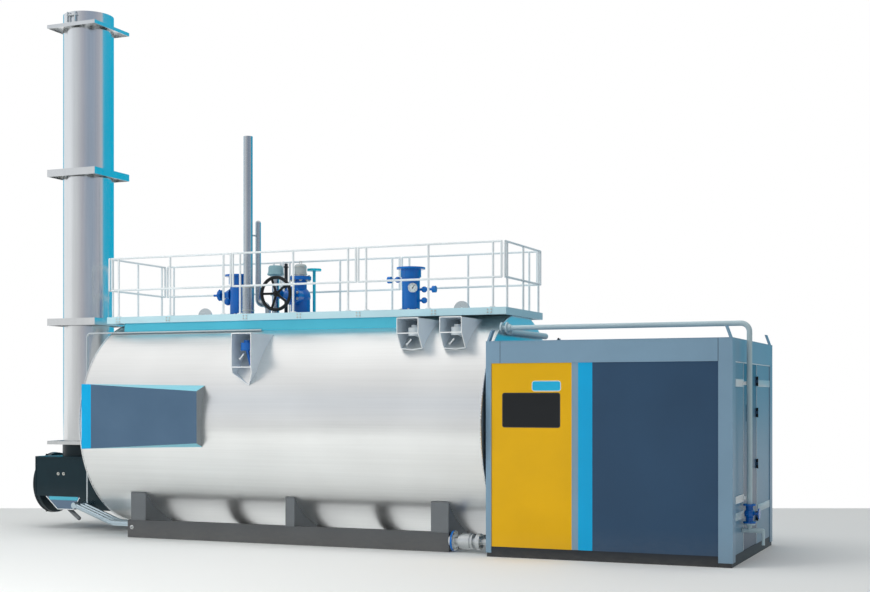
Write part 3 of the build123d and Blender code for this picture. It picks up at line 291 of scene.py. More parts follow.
# A round body that starts at a point and goes along a way
def addDisc(bm, place, way, radius, depth, sides=24, topRadius=None, edge=0.0, turn=0.0):
    way = Vector(way).normalized()
    made = bmesh.ops.create_cone(
        bm, cap_ends=True, segments=sides, radius1=radius,
        radius2=radius if topRadius is None else topRadius, depth=depth,
        matrix=placed(Vector(place) + way * depth / 2, way, turn),
    )
    if edge:
        soften(bm, made["verts"], edge)


def addRod(bm, start, end, radius, sides=12, edge=0.0):
    run = Vector(end) - Vector(start)
    addDisc(bm, start, run, radius, run.length, sides, edge=edge)


def addBall(bm, place, radius, sides=16):
    bmesh.ops.create_uvsphere(
        bm, u_segments=sides, v_segments=sides // 2, radius=radius, matrix=Matrix.Translation(Vector(place)),
    )


# Rods through points with balls at the bends
def addRun(bm, points, radius, sides=12):
    for start, end in zip(points, points[1:]):
        addRod(bm, start, end, radius, sides)
    for point in points[1:-1]:
        addBall(bm, point, radius, sides)


def addSlab(bm, low, high, edge=0.0, segments=2):
    low, high = Vector(low), Vector(high)
    size = high - low
    made = bmesh.ops.create_cube(
        bm, size=1, matrix=Matrix.Translation((low + high) / 2) @ Matrix.Diagonal((*size, 1)),
    )
    if edge:
        soften(bm, made["verts"], edge, segments)


# A plate that stands out of a face square to Y; proud is signed, away from the face
def addSidePlate(bm, xs, y, proud, zs, edge):
    addSlab(bm, (xs[0], min(y, y + proud), zs[0]), (xs[1], max(y, y + proud), zs[1]), edge)


# A plate seen from the front, its four corners rounded
def addRoundedPlate(bm, low, high, corner, thinAxis):
    low, high = Vector(low), Vector(high)
    made = bmesh.ops.create_cube(
        bm, size=1, matrix=Matrix.Translation((low + high) / 2) @ Matrix.Diagonal((*(high - low), 1)),
    )
    edges = {edge for vert in made["verts"] for edge in vert.link_edges}
    across = [e for e in edges if abs((e.verts[1].co - e.verts[0].co)[thinAxis]) > 1e-6]
    bmesh.ops.bevel(
        bm, geom=across, offset=corner, offset_type="OFFSET", segments=6, profile=0.5,
        affect="EDGES", material=-1, clamp_overlap=True,
    )


# Turns an outline of (radius, height) round the way through a point; a closed outline makes a ring
def addTurned(bm, place, way, outline, sides=40, closed=False):
    frameAt = placed(place, way)
    verts = [bm.verts.new(frameAt @ Vector((radius, 0, height))) for radius, height in outline]
    pairs = list(zip(verts, verts[1:])) + ([(verts[-1], verts[0])] if closed else [])
    edges = [bm.edges.new(pair) for pair in pairs]
    bmesh.ops.spin(
        bm, geom=verts + edges, cent=Vector(place), axis=Vector(way).normalized(),
        angle=math.tau, steps=sides, use_merge=True, use_duplicate=False,
    )
    bmesh.ops.remove_doubles(bm, verts=bm.verts, dist=1e-6)


def addHoop(bm, place, way, radius, thick, sides=40, around=10):
    outline = [
        (radius + thick * math.cos(math.tau * k / around), thick * math.sin(math.tau * k / around))
        for k in range(around)
    ]
    addTurned(bm, place, way, outline, sides, closed=True)


# Hexagon head on its washer; across is the head's width over flats
def addBolt(bm, place, way, across, turn=0.0):
    way = Vector(way).normalized()
    place = Vector(place)
    addDisc(bm, place, way, across * 0.95, across * 0.14, 20, edge=across * 0.03)
    addDisc(
        bm, place + way * across * 0.14, way, across * 0.577, across * 0.6, 6, edge=across * 0.05, turn=turn,
    )


# Bolts evenly round a circle, which lies square to the way
def addBoltCircle(bm, place, way, radius, count, across, start=0.0):
    for k in range(count):
        angle = start + math.tau * k / count
        spot = placed(place, way) @ Vector((radius * math.cos(angle), radius * math.sin(angle), 0))
        addBolt(bm, spot, way, across, turn=k * 0.7)


def finishPiece(name, bm, material, body="boiler"):
    bmesh.ops.recalc_face_normals(bm, faces=bm.faces)
    for edge in bm.edges:
        edge.smooth = len(edge.link_faces) != 2 or edge.calc_face_angle(0) < math.radians(35)
    for face in bm.faces:
        face.smooth = True
    mesh = bpy.data.meshes.new(name)
    bm.to_mesh(mesh)
    bm.free()
    piece = bpy.data.objects.new(name, mesh)
    bpy.context.scene.collection.objects.link(piece)
    setMaterial(piece, material)
    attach(piece, body)
    return piece


# Fasteners: zinc plate, bright and slightly yellowed
zinc = stainless("Zinc-plated steel, fasteners", "#D5D6D0", (0.01, 0.01, 0.01), 0.28, 0.42, (0.2, 0.2, 0.2))
trimSteel = stainless("Stainless trim strip", "#F0F2F2", (0.3, 0.02, 0.02), 0.22, 0.32)
whitePaint = powderCoat("White enamel, edges and conduit", "#E9EEF0", 0.4, 0.03)
blackRubber = powderCoat("Black EPDM rubber", "#15181A", 0.75, 0.1)

# Label and tag on the yellow panel, both left blank: a border plate and a film just proud of it
label = {
    "low": (3.636, 1.87), "high": (4.510, 2.37), "face": -1.5982, "thick": 0.003, "corner": 0.035,
    "rim": 0.012,
}
tag = {
    "low": (4.086, 2.39), "high": (4.520, 2.54), "face": -1.5982, "thick": 0.002, "corner": 0.04,
    "rim": 0.008,
}
filmProud = 0.0008


def addLabel(name, plate, borderMaterial, filmMaterial):
    low, high, rim = plate["low"], plate["high"], plate["rim"]
    front = plate["face"] - plate["thick"]
    bm = bmesh.new()
    addRoundedPlate(bm, (low[0], front, low[1]), (high[0], plate["face"], high[1]), plate["corner"], 1)
    finishPiece(f"{name}_border", bm, borderMaterial)
    bm = bmesh.new()
    addRoundedPlate(
        bm, (low[0] + rim, front - filmProud, low[1] + rim),
        (high[0] - rim, plate["face"] - plate["thick"] * 0.5, high[1] - rim), plate["corner"] - rim, 1,
    )
    finishPiece(f"{name}_film", bm, filmMaterial)


labelFilm = powderCoat("Black satin film, blank label", "#1D2023", 0.3, 0.05)
labelLine = powderCoat("Charcoal border on the label", "#3A3E42", 0.35, 0.05)
tagFilm = powderCoat("Cyan satin film, blank tag", "#1FB0DD", 0.32, 0.03)
addLabel("label", label, labelLine, labelFilm)
addLabel("tag", tag, whitePaint, tagFilm)
print("label and tag")

# Rims of the cladding: rolled bead where the sheet turns over the end plates
shell = {"radius": 1.720, "axisZ": 1.874, "rear": -3.696, "front": 3.358, "bead": 0.011}
bm = bmesh.new()
for x in (shell["rear"] + shell["bead"], shell["front"] - shell["bead"]):
    addHoop(bm, (x, 0, shell["axisZ"]), alongX, shell["radius"] + 0.002, shell["bead"], 160, 8)
finishPiece("cladding_end_beads", bm, trimSteel)

# Front nozzle, rear nozzle and main valve stand on bolted rings on the deck
nozzles = {"front": (1.488, 0.0, 0.1455), "rear": (-1.772, 0.1, 0.1455), "main": (-0.629, 0.2, 0.1605)}
ring = {"low": 3.6285, "high": 3.700, "width": 0.070, "bolts": 8, "across": 0.030}
for name, (x, y, inner) in nozzles.items():
    bm = bmesh.new()
    outer = inner + ring["width"]
    addTurned(
        bm, (x, y, 0), alongZ,
        [(inner, ring["low"]), (outer, ring["low"]), (outer, ring["high"] - 0.006),
         (outer - 0.006, ring["high"]), (inner + 0.012, ring["high"]), (inner, ring["high"] + 0.012)],
        48, closed=True,
    )
    finishPiece(f"{name}_deck_ring", bm, pressurePaint if name == "front" else valvePaint)
    bm = bmesh.new()
    addBoltCircle(bm, (x, y, ring["high"]), alongZ, outer - 0.030, ring["bolts"], ring["across"], 0.2)
    finishPiece(f"{name}_deck_ring_bolts", bm, zinc)

# Main valve: nuts under and on its top flange, and the ring of bonnet bolts
mainValve = {"x": -0.629, "y": 0.2, "flangeLow": 4.270, "flangeTop": 4.330, "circle": 0.146, "across": 0.032}
bm = bmesh.new()
for z, way in ((mainValve["flangeLow"], -1), (mainValve["flangeTop"], 1)):
    spot = (mainValve["x"], mainValve["y"], z)
    addBoltCircle(bm, spot, alongZ * way, mainValve["circle"], 8, mainValve["across"], 0.3)
addBoltCircle(bm, (mainValve["x"], -0.130, 3.990), -alongY, 0.125, 8, 0.026, 0.39)
finishPiece("main_valve_bolts", bm, zinc)

# Yoke bars from the bonnet to the gland plate behind the handwheel
yoke = {"x": -0.629, "z": 3.990, "rear": -0.135, "plate": -0.500, "spread": 0.082, "bar": 0.013}
bm = bmesh.new()
for side in (-1, 1):
    start = (yoke["x"] + side * yoke["spread"], yoke["rear"], yoke["z"])
    addRod(bm, start, (yoke["x"] + side * 0.062, yoke["plate"], yoke["z"]), yoke["bar"], 14)
addTurned(
    bm, (yoke["x"], yoke["plate"], yoke["z"]), -alongY,
    [(0.016, 0), (0.075, 0), (0.078, 0.004), (0.078, 0.014), (0.034, 0.018), (0.032, 0.040), (0.016, 0.040)],
    36, closed=True,
)
finishPiece("main_valve_yoke", bm, valvePaint)

# Silencer cap: clamp band, rain lip and lifting eye
cap = {"x": -0.629, "y": 0.2, "low": 4.3305, "radius": 0.100, "height": 0.210}
bm = bmesh.new()
for level in (0.03, 0.15):
    addTurned(
        bm, (cap["x"], cap["y"], cap["low"] + level), alongZ,
        [
            (cap["radius"], 0), (cap["radius"] + 0.005, 0.002), (cap["radius"] + 0.005, 0.016),
            (cap["radius"], 0.018),
        ],
        48, closed=True,
    )
addHoop(bm, (cap["x"], cap["y"], cap["low"] + cap["height"] + 0.026), alongY, 0.024, 0.006, 28, 8)
addDisc(bm, (cap["x"], cap["y"], cap["low"] + cap["height"]), alongZ, 0.018, 0.006, 24, edge=0.002)
addSlab(
    bm, (cap["x"] + 0.098, cap["y"] - 0.02, cap["low"] + 0.028),
    (cap["x"] + 0.118, cap["y"] + 0.02, cap["low"] + 0.048), 0.003,
)
finishPiece("silencer_cap_fittings", bm, zinc)

# Handwheel: domed hub nut on its washer; it turns with the wheel
bm = bmesh.new()
addDisc(bm, (-0.629, -0.650, 3.990), -alongY, 0.026, 0.003, 28, edge=0.001)
addDisc(bm, (-0.629, -0.653, 3.990), -alongY, 0.021, 0.015, 6, edge=0.002)
addDisc(bm, (-0.629, -0.668, 3.990), -alongY, 0.014, 0.008, 20, 0.006)
finishPiece("handwheel_nut", bm, wheelPaint, "handwheel")
print("valve fittings")

# Dial gauge on the front nozzle: bezel, enamel face, division lines, needle and boss
dialTurn = math.radians(31)
dialWay = Vector((math.sin(dialTurn), -math.cos(dialTurn), 0))
dial = {"centre": Vector((1.488, 0, 4.048)) + dialWay * 0.215, "radius": 0.075, "face": 0.066, "ticks": 11}
dialSide = dialWay.cross(alongZ).normalized() * -1
bm = bmesh.new()
addTurned(
    bm, dial["centre"], dialWay,
    [(dial["face"], 0), (dial["radius"], 0), (dial["radius"] + 0.003, 0.004), (dial["radius"], 0.012),
     (dial["radius"] - 0.005, 0.014), (dial["face"], 0.008)], 48, closed=True,
)
finishPiece("dial_bezel", bm, trimSteel)
bm = bmesh.new()
addDisc(bm, dial["centre"], dialWay, dial["face"] + 0.001, 0.002, 48, edge=0.0005)
finishPiece("dial_face", bm, whitePaint)
bm = bmesh.new()
for k in range(dial["ticks"]):
    angle = math.radians(225 - 27 * k)
    ray = dialSide * math.cos(angle) + alongZ * math.sin(angle)
    inner = dial["centre"] + dialWay * 0.0028 + ray * (0.046 if k % 5 else 0.040)
    addRod(bm, inner, dial["centre"] + dialWay * 0.0028 + ray * 0.059, 0.0016, 6)
needleAngle = math.radians(58)
needle = dialSide * math.cos(needleAngle) + alongZ * math.sin(needleAngle)
addRod(
    bm, dial["centre"] + dialWay * 0.005 - needle * 0.022, dial["centre"] + dialWay * 0.005 + needle * 0.050,
    0.0036, 8,
)
addDisc(bm, dial["centre"] + dialWay * 0.002, dialWay, 0.010, 0.007, 24, 0.008)
finishPiece("dial_needle_and_ticks", bm, blackRubber)
print("dial gauge")

# Six round grips on a circle round the rear nozzle's side cock
handle = {"x": -2.122, "y": 0.1, "z": 4.050, "radius": 0.092}
bm = bmesh.new()
for k in range(6):
    angle = math.tau * k / 6
    spot = (
        handle["x"], handle["y"] + handle["radius"] * math.cos(angle),
        handle["z"] + handle["radius"] * math.sin(angle),
    )
    addBall(bm, spot, 0.019, 12)
finishPiece("rear_cock_handle_grips", bm, valvePaint)

# Vent pipe's sleeve: base plate, jacket with a turned-in top, and two clamp bands
vent = {"x": -1.348, "y": -0.3, "pipe": 0.0765, "sleeve": 0.100, "low": 3.629, "top": 4.170}
bm = bmesh.new()
addTurned(
    bm, (vent["x"], vent["y"], 0), alongZ,
    [(vent["pipe"], vent["low"]), (0.150, vent["low"]), (0.150, vent["low"] + 0.012),
     (vent["sleeve"] + 0.008, vent["low"] + 0.016),
     (
         vent["sleeve"], vent["low"] + 0.030,
     ), (vent["sleeve"], vent["top"] - 0.020), (vent["pipe"] + 0.004, vent["top"]),
     (vent["pipe"], vent["top"])], 48, closed=True,
)
finishPiece("vent_sleeve", bm, riserSteel)
bm = bmesh.new()
for z in (3.74, 4.12):
    addTurned(
        bm, (vent["x"], vent["y"], z), alongZ,
        [
            (vent["sleeve"], 0), (vent["sleeve"] + 0.004, 0.001), (vent["sleeve"] + 0.004, 0.019),
            (vent["sleeve"], 0.020),
        ],
        48, closed=True,
    )
    addBolt(bm, (vent["x"] + vent["sleeve"] + 0.002, vent["y"] - 0.012, z + 0.010), (0.9, -0.4, 0), 0.014)
addBoltCircle(bm, (vent["x"], vent["y"], vent["low"] + 0.012), alongZ, 0.133, 6, 0.020)
finishPiece("vent_sleeve_bands", bm, zinc)

# Pressure switch on its riser behind the handwheel, and the dark conduit post beside it
switch = {"x": -1.163, "y": 0.3, "low": 4.377, "top": 4.541, "radius": 0.145, "riser": 0.062}
switchPaint = powderCoat("Grey-teal cast aluminium, switch head", "#8DB3BC", 0.4, 0.08, 0.0, 0.6, 0.1)
bm = bmesh.new()
addTurned(
    bm, (switch["x"], switch["y"], 0), alongZ,
    [(0.0, switch["low"] - 0.020), (switch["riser"] + 0.02, switch["low"] - 0.020),
     (switch["radius"] - 0.012, switch["low"]),
     (switch["radius"], switch["low"] + 0.012), (switch["radius"] - 0.020, switch["low"] + 0.070),
     (switch["radius"] - 0.020, switch["top"] - 0.030), (switch["radius"] - 0.040, switch["top"]),
     (0.0, switch["top"])], 40,
)
finishPiece("pressure_switch_head", bm, switchPaint)
bm = bmesh.new()
addTurned(
    bm, (switch["x"], switch["y"], 0), alongZ,
    [(0.0, 3.629), (0.120, 3.629), (0.120, 3.645), (switch["riser"], 3.655), (switch["riser"], 4.02),
     (0.098, 4.04),
     (0.098, 4.075), (switch["riser"], 4.095), (switch["riser"], 4.357), (0.0, 4.357)], 36,
)
addBoltCircle(bm, (switch["x"], switch["y"], 3.645), alongZ, 0.094, 6, 0.020)
finishPiece("pressure_switch_riser", bm, riserSteel)
bm = bmesh.new()
addRod(bm, (-0.962, 0.3, 3.629), (-0.962, 0.3, 4.570), 0.030, 16, 0.006)
for z in (3.629, 4.05, 4.50):
    addDisc(bm, (-0.962, 0.3, z), alongZ, 0.042, 0.022, 20, edge=0.004)
finishPiece("conduit_post", bm, basePaint)
print("deck fittings")

# Hoods: lips round the open fronts, the lip along the fold, and the conduit to each instrument
hoods = [
    {
        "name": "low_hood", "x": -0.824, "top": 3.300, "front": -1.690, "fold": 2.774, "tip": 2.490,
        "tipY": -1.608, "point": 0.190, "share": 0.75, "head": (-1.56, 3.064),
    },
    {
        "name": "high_hood_left", "x": 1.908, "top": 3.490, "front": -1.465, "fold": 3.263, "tip": 3.020,
        "tipY": -1.290, "point": 0.020, "share": 0.5, "head": (-1.26, 3.26),
    },
    {
        "name": "high_hood_right", "x": 2.604, "top": 3.490, "front": -1.465, "fold": 3.263, "tip": 3.020,
        "tipY": -1.290, "point": 0.020, "share": 0.5, "head": (-1.26, 3.26),
    },
]
hoodWidth = 0.345
for hood in hoods:
    x0, x1 = hood["x"], hood["x"] + hoodWidth
    shoulder = hood["tip"] + hood["point"]
    slope = (hood["tipY"] - hood["front"]) / (hood["fold"] - hood["tip"])
    shoulderY = hood["tipY"] - slope * hood["point"]
    front = hood["front"]
    loop = [
        (
            x0, shoulderY, shoulder,
        ), (x0, front, hood["fold"]), (x0, front, hood["top"]), (x1, front, hood["top"]),
        (x1, front, hood["fold"]), (x1, shoulderY, shoulder), (
            x0 + hood["share"] * hoodWidth, hood["tipY"], hood["tip"],
        ),
        (x0, shoulderY, shoulder),
    ]
    bm = bmesh.new()
    addRun(bm, loop, 0.0075, 8)
    addSlab(
        bm, (x0 + 0.006, front, hood["fold"] - 0.008), (x1 - 0.006, front + 0.006, hood["fold"] + 0.008),
        0.0015,
    )
    finishPiece(f"{hood['name']}_lips", bm, whitePaint)
    bm = bmesh.new()
    headY, headZ = hood["head"]
    headX = x0 + 0.58 * hoodWidth
    low = hood["top"] - 0.40
    addRun(bm, [
        (
            x0 + 0.05, headY + 0.10, max(shoulder, low),
        ), (x0 + 0.07, headY + 0.01, headZ - 0.16), (headX - 0.05, headY - 0.01, headZ - 0.08),
    ], 0.012)
    addDisc(bm, (x0 + 0.07, headY + 0.01, headZ - 0.17), alongZ, 0.020, 0.030, 16, edge=0.003)
    finishPiece(f"{hood['name']}_conduit", bm, whitePaint)
print("hoods")

# Stack: bolts through the paired frames, seams of the tubes, and lifting lugs above the crown frame
stack = {
    "x": -4.802, "radius": 0.440, "joints": (3.628, 6.254), "tubes": (
        (1.54, 3.56), (3.70, 6.18), (6.33, 8.79),
    ),
}
frameBolt = {
    "corner": 0.455, "inner": 0.16, "row": 0.477, "cornerShare": 0.955, "half": 0.010, "across": 0.026,
}
bm = bmesh.new()
for z in stack["joints"]:
    for a in (-frameBolt["corner"], -frameBolt["inner"], frameBolt["inner"], frameBolt["corner"]):
        for b in (-frameBolt["row"], frameBolt["row"]):
            spots = [(a, b), (b, a)]
            if abs(a) == frameBolt["corner"]:
                spots = [(a, b * frameBolt["cornerShare"])]
            for way in (-1, 1):
                for dx, dy in spots:
                    spot = (stack["x"] + dx, dy, z + way * frameBolt["half"])
                    addBolt(bm, spot, alongZ * way, frameBolt["across"])
finishPiece("stack_joint_bolts", bm, zinc)
seam = {"half": 0.020, "sunk": 0.002, "proud": 0.003}
bm = bmesh.new()
for low, high in stack["tubes"]:
    addSlab(
        bm, (stack["x"] - seam["half"], stack["radius"] - seam["sunk"], low),
        (stack["x"] + seam["half"], stack["radius"] + seam["proud"], high), 0.001,
    )
finishPiece("stack_seams", bm, stackSteel)
lug = {
    "low": 8.890, "top": 9.068, "xs": (-0.10, 0.06), "thick": 0.016, "reach": 0.052,
    "pinXs": (-0.125, 0.10), "pinOut": 0.030, "pinBelow": 0.06, "pinRadius": 0.014,
}
bm = bmesh.new()
for side in (-1, 1):
    for dx in lug["xs"]:
        x = stack["x"] + dx
        span = (x, x + lug["thick"])
        addSidePlate(bm, span, side * stack["radius"], side * lug["reach"], (lug["low"], lug["top"]), 0.004)
    pinY = side * (stack["radius"] + lug["pinOut"])
    pinZ = lug["top"] - lug["pinBelow"]
    start, end = ((stack["x"] + dx, pinY, pinZ) for dx in lug["pinXs"])
    addRod(bm, start, end, lug["pinRadius"], 14, 0.003)
finishPiece("stack_lifting_lugs", bm, frameSteel)
print("stack fittings")

# Walkway: splice plates where the edge beams join, and foot plates under the railing posts
edgeLow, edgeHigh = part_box("walkway_edge_beams")
splice = {
    "xs": (-3.549, -2.551, -1.077, -0.086, 0.967, 2.248, 3.160), "width": 0.090, "low": 3.560, "high": 3.650,
    "thick": 0.004, "boltXs": (-0.028, 0.028), "boltZs": (3.582, 3.628), "across": 0.014,
}
bm = bmesh.new()
for x in splice["xs"]:
    for y, way in ((edgeLow[1], -1), (edgeHigh[1], 1)):
        span = (x - splice["width"] / 2, x + splice["width"] / 2)
        addSidePlate(bm, span, y, way * splice["thick"], (splice["low"], splice["high"]), 0.0015)
finishPiece("walkway_splice_plates", bm, platformPaint)
bm = bmesh.new()
for x in splice["xs"]:
    for y, way in ((edgeLow[1], -1), (edgeHigh[1], 1)):
        for dx in splice["boltXs"]:
            for z in splice["boltZs"]:
                addBolt(bm, (x + dx, y + way * splice["thick"], z), (0, way, 0), splice["across"])
finishPiece("walkway_splice_bolts", bm, zinc)

post = {
    "xs": (-3.553, -2.529, -1.504, -1.186, -0.2045, 0.777, 1.0987, 2.149, 3.199), "y": 0.830, "z": 3.660,
    "radius": 0.0172, "plateX": 0.045, "plateY": 0.026, "thick": 0.008, "boltX": 0.033, "across": 0.013,
}
collar = [
    (post["radius"], 0), (post["radius"] + 0.010, 0), (post["radius"] + 0.002, 0.012),
    (post["radius"], 0.012),
]
bm = bmesh.new()
for x in post["xs"]:
    for y in (-post["y"], post["y"]):
        top = post["z"] + post["thick"]
        addSlab(
            bm, (x - post["plateX"], y - post["plateY"], post["z"] + 0.0004),
            (x + post["plateX"], y + post["plateY"], top), 0.002,
        )
        addTurned(bm, (x, y, top), alongZ, collar, 24, closed=True)
        for dx in (-post["boltX"], post["boltX"]):
            addBolt(bm, (x + dx, y, top), alongZ, post["across"])
finishPiece("railing_foot_plates", bm, railPaint)
print("walkway fittings")

# Cabin: band joints, roof flashing and ribs
cabin = {"x0": 3.388, "x1": 6.944, "half": 1.610, "sideFace": 6.932, "bandLow": 2.795, "top": 3.110}
bm = bmesh.new()
for x in (3.607, 6.747):
    for way in (-1, 1):
        span = (x - 0.003, x + 0.003)
        addSidePlate(bm, span, way * cabin["half"], way * 0.0012, (cabin["bandLow"], cabin["top"]), 0.0003)
finishPiece("cabin_band_joints", bm, blackRubber)
bm = bmesh.new()
flash = {"width": 0.070, "thick": 0.006, "lip": 0.004}
half = cabin["half"] + flash["lip"]
for low, high in (
    (
        (cabin["x0"], -half), (cabin["x1"], -half + flash["width"]),
    ), ((cabin["x0"], half - flash["width"]), (cabin["x1"], half)),
    ((cabin["x0"], -half + flash["width"]), (cabin["x0"] + flash["width"], half - flash["width"])),
    ((cabin["x1"] - flash["width"], -half + flash["width"]), (cabin["x1"], half - flash["width"])),
):
    addSlab(bm, (*low, cabin["top"] + 0.0004), (*high, cabin["top"] + flash["thick"]), 0.002)
finishPiece("cabin_roof_flashing", bm, framePaint)
rib = {"count": 6, "first": 3.80, "pitch": 0.54, "half": 0.025, "reach": 1.50, "low": 3.0803, "high": 3.101}
bm = bmesh.new()
for k in range(rib["count"]):
    x = rib["first"] + rib["pitch"] * k
    addSlab(
        bm, (x - rib["half"], -rib["reach"], rib["low"]), (x + rib["half"], rib["reach"], rib["high"]), 0.008,
        3,
    )
finishPiece("cabin_roof_ribs", bm, wallPaint)

# Cabin's end wall: two cross rails, door edge strips, the drip strip under the band
railPale = powderCoat("Pale blue-grey powder coat, cross rails", "#AFC6D0", 0.36, 0.04)
bm = bmesh.new()
for low, high in ((0.610, 0.720), (2.460, 2.560)):
    for y0, y1 in ((-1.395, -0.790), (0.370, 1.395)):
        addSlab(bm, (cabin["sideFace"] + 0.0003, y0, low), (cabin["sideFace"] + 0.006, y1, high), 0.002)
finishPiece("cabin_end_rails", bm, railPale)
bm = bmesh.new()
addSlab(bm, (cabin["sideFace"] + 0.0003, -0.772, 0.160), (cabin["sideFace"] + 0.004, -0.760, 2.780), 0.0012)
for low, high in ((0.160, 0.470), (0.650, 1.240), (1.420, 1.990), (2.170, 2.450), (2.630, 2.780)):
    addSlab(bm, (cabin["sideFace"] + 0.0003, 0.264, low), (cabin["sideFace"] + 0.004, 0.273, high), 0.0012)
addSlab(bm, (cabin["sideFace"] + 0.0003, -1.400, 2.783), (cabin["sideFace"] + 0.009, 1.400, 2.7945), 0.002)
finishPiece("cabin_end_trim", bm, whitePaint)
hinge = {"x": 6.950, "y": 0.253, "zs": (2.540, 2.080, 1.330, 0.560), "half": 0.0655, "radius": 0.0145}
bm = bmesh.new()
for z in hinge["zs"]:
    for way in (-1, 1):
        addDisc(
            bm, (hinge["x"], hinge["y"], z + way * hinge["half"]), (0, 0, way), hinge["radius"], 0.006, 20,
            0.009,
        )
finishPiece("door_hinge_caps", bm, wheelPaint)
bm = bmesh.new()
addTurned(
    bm, (4.478, -1.578, cabin["top"] + 0.006), alongZ,
    [(0.0, 0), (0.022, 0), (0.022, 0.004), (0.013, 0.008), (0.013, 0.024), (0.008, 0.030), (0.0, 0.030)], 24,
)
finishPiece("cabin_roof_plug", bm, blackRubber)
print("cabin fittings")

# Roof pipe: dished flange where it leaves the end plate
dish = {"y": -0.870, "z": 3.340, "pipe": 0.0385}
bm = bmesh.new()
addTurned(
    bm, (3.440, dish["y"], dish["z"]), alongX,
    [
        (dish["pipe"], 0), (0.088, 0), (0.092, 0.008), (0.088, 0.022), (0.060, 0.030), (0.050, 0.070),
        (dish["pipe"], 0.078),
    ], 40, closed=True,
)
finishPiece("roof_pipe_flange", bm, tealPipe)

# Feed valve: blue ring over its rear flange with a white gasket, and bolts through both flanges
feed = {"y": -1.245, "z": 0.170}
bm = bmesh.new()
addTurned(
    bm, (2.7315, feed["y"], feed["z"]), alongX,
    [
        (0.090, 0), (0.148, 0), (0.1515, 0.004), (0.1515, 0.029), (0.148, 0.0330), (0.1503, 0.0310),
        (0.1503, 0.002), (0.090, 0.001),
    ],
    48, closed=True,
)
finishPiece("feed_flange_ring", bm, pressurePaint)
bm = bmesh.new()
addTurned(
    bm, (2.7635, feed["y"], feed["z"]), alongX, [(0.061, 0), (0.108, 0), (0.108, 0.005), (0.061, 0.005)], 40,
    closed=True,
)
finishPiece("feed_gasket", bm, whitePaint)
bm = bmesh.new()
addBoltCircle(bm, (2.7640, feed["y"], feed["z"]), alongX, 0.129, 8, 0.022, 0.4)
addBoltCircle(bm, (3.1785, feed["y"], feed["z"]), alongX, 0.098, 8, 0.020, 0.4)
finishPiece("feed_flange_bolts", bm, zinc)

# Skid: bushes in the lashing holes and weld beads under the saddles
skid = {"hole": (-2.952, 0.1682), "half": 1.310, "top": 0.290}
bm = bmesh.new()
for side in (-1, 1):
    addTurned(
        bm, (skid["hole"][0], side * skid["half"], skid["hole"][1]), (0, side, 0),
        [
            (0.0205, -0.010), (0.0215, 0.0003), (0.034, 0.0003), (0.034, 0.004), (0.028, 0.007),
            (0.0205, 0.007),
        ], 32, closed=True,
    )
finishPiece("skid_lashing_bushes", bm, trimSteel)
bead = {
    "seats": ((-2.827, 0.285), (0.0, 0.158), (2.538, 0.285)), "pitch": 0.012, "radius": 0.0085, "flat": 0.8,
}
bm = bmesh.new()
for x, width in bead["seats"]:
    for side in (-1, 1):
        y = side * (skid["half"] + 0.001)
        for k in range(int(width / bead["pitch"])):
            spot = (x - width / 2 + bead["pitch"] / 2 + bead["pitch"] * k, y, skid["top"] + 0.001)
            bmesh.ops.create_uvsphere(
                bm, u_segments=8, v_segments=5, radius=bead["radius"],
                matrix=Matrix.Translation(spot) @ Matrix.Diagonal((1.0, bead["flat"], bead["flat"], 1)),
            )
finishPiece("saddle_weld_beads", bm, saddlePaint)
print("skid fittings")

# Flue: two bolts on the flank, clamps round the drum, seam strips, and the trim of the hopper
flue = {
    "half": 0.610, "bolts": ((-4.988, 0.967), (-4.874, 0.969)), "drumX": -5.575, "drumZ": 0.775,
    "drumR": 0.535,
}
bm = bmesh.new()
for side in (-1, 1):
    for x, z in flue["bolts"]:
        addBolt(bm, (x, side * flue["half"], z), (0, side, 0), 0.030)
finishPiece("flue_side_bolts", bm, zinc)
strip = {
    "xs": (-5.470, -4.200), "half": 0.012, "proud": 0.006, "low": 0.585, "topLow": 1.240, "top": 1.262,
    "end": -3.720,
}
bm = bmesh.new()
for side in (-1, 1):
    y = side * flue["half"]
    proud = side * strip["proud"]
    for x in strip["xs"]:
        addSidePlate(
            bm, (x - strip["half"], x + strip["half"]), y, proud, (strip["low"], strip["top"]), 0.002,
        )
    addSidePlate(bm, (strip["xs"][0], strip["end"]), y, proud, (strip["topLow"], strip["top"]), 0.002)
finishPiece("flue_seam_strips", bm, fluePaint)
bm = bmesh.new()
addTurned(
    bm, (flue["drumX"], 0, flue["drumZ"]), alongX,
    [
        (flue["drumR"], 0), (flue["drumR"] + 0.006, 0.003), (flue["drumR"] + 0.006, 0.027),
        (flue["drumR"], 0.030),
    ], 96, closed=True,
)
for k in range(8):
    angle = math.tau * (k + 0.5) / 8
    ray = Vector((0, math.cos(angle), math.sin(angle)))
    place = Vector((flue["drumX"] + 0.015, 0, flue["drumZ"])) + ray * (flue["drumR"] + 0.005)
    addDisc(bm, place, ray, 0.014, 0.018, 6, edge=0.002)
    addRod(bm, place + ray * 0.010 - alongX * 0.020, place + ray * 0.010 + alongX * 0.024, 0.006, 8, 0.001)
finishPiece("drum_clamp_ring", bm, neckPaint)

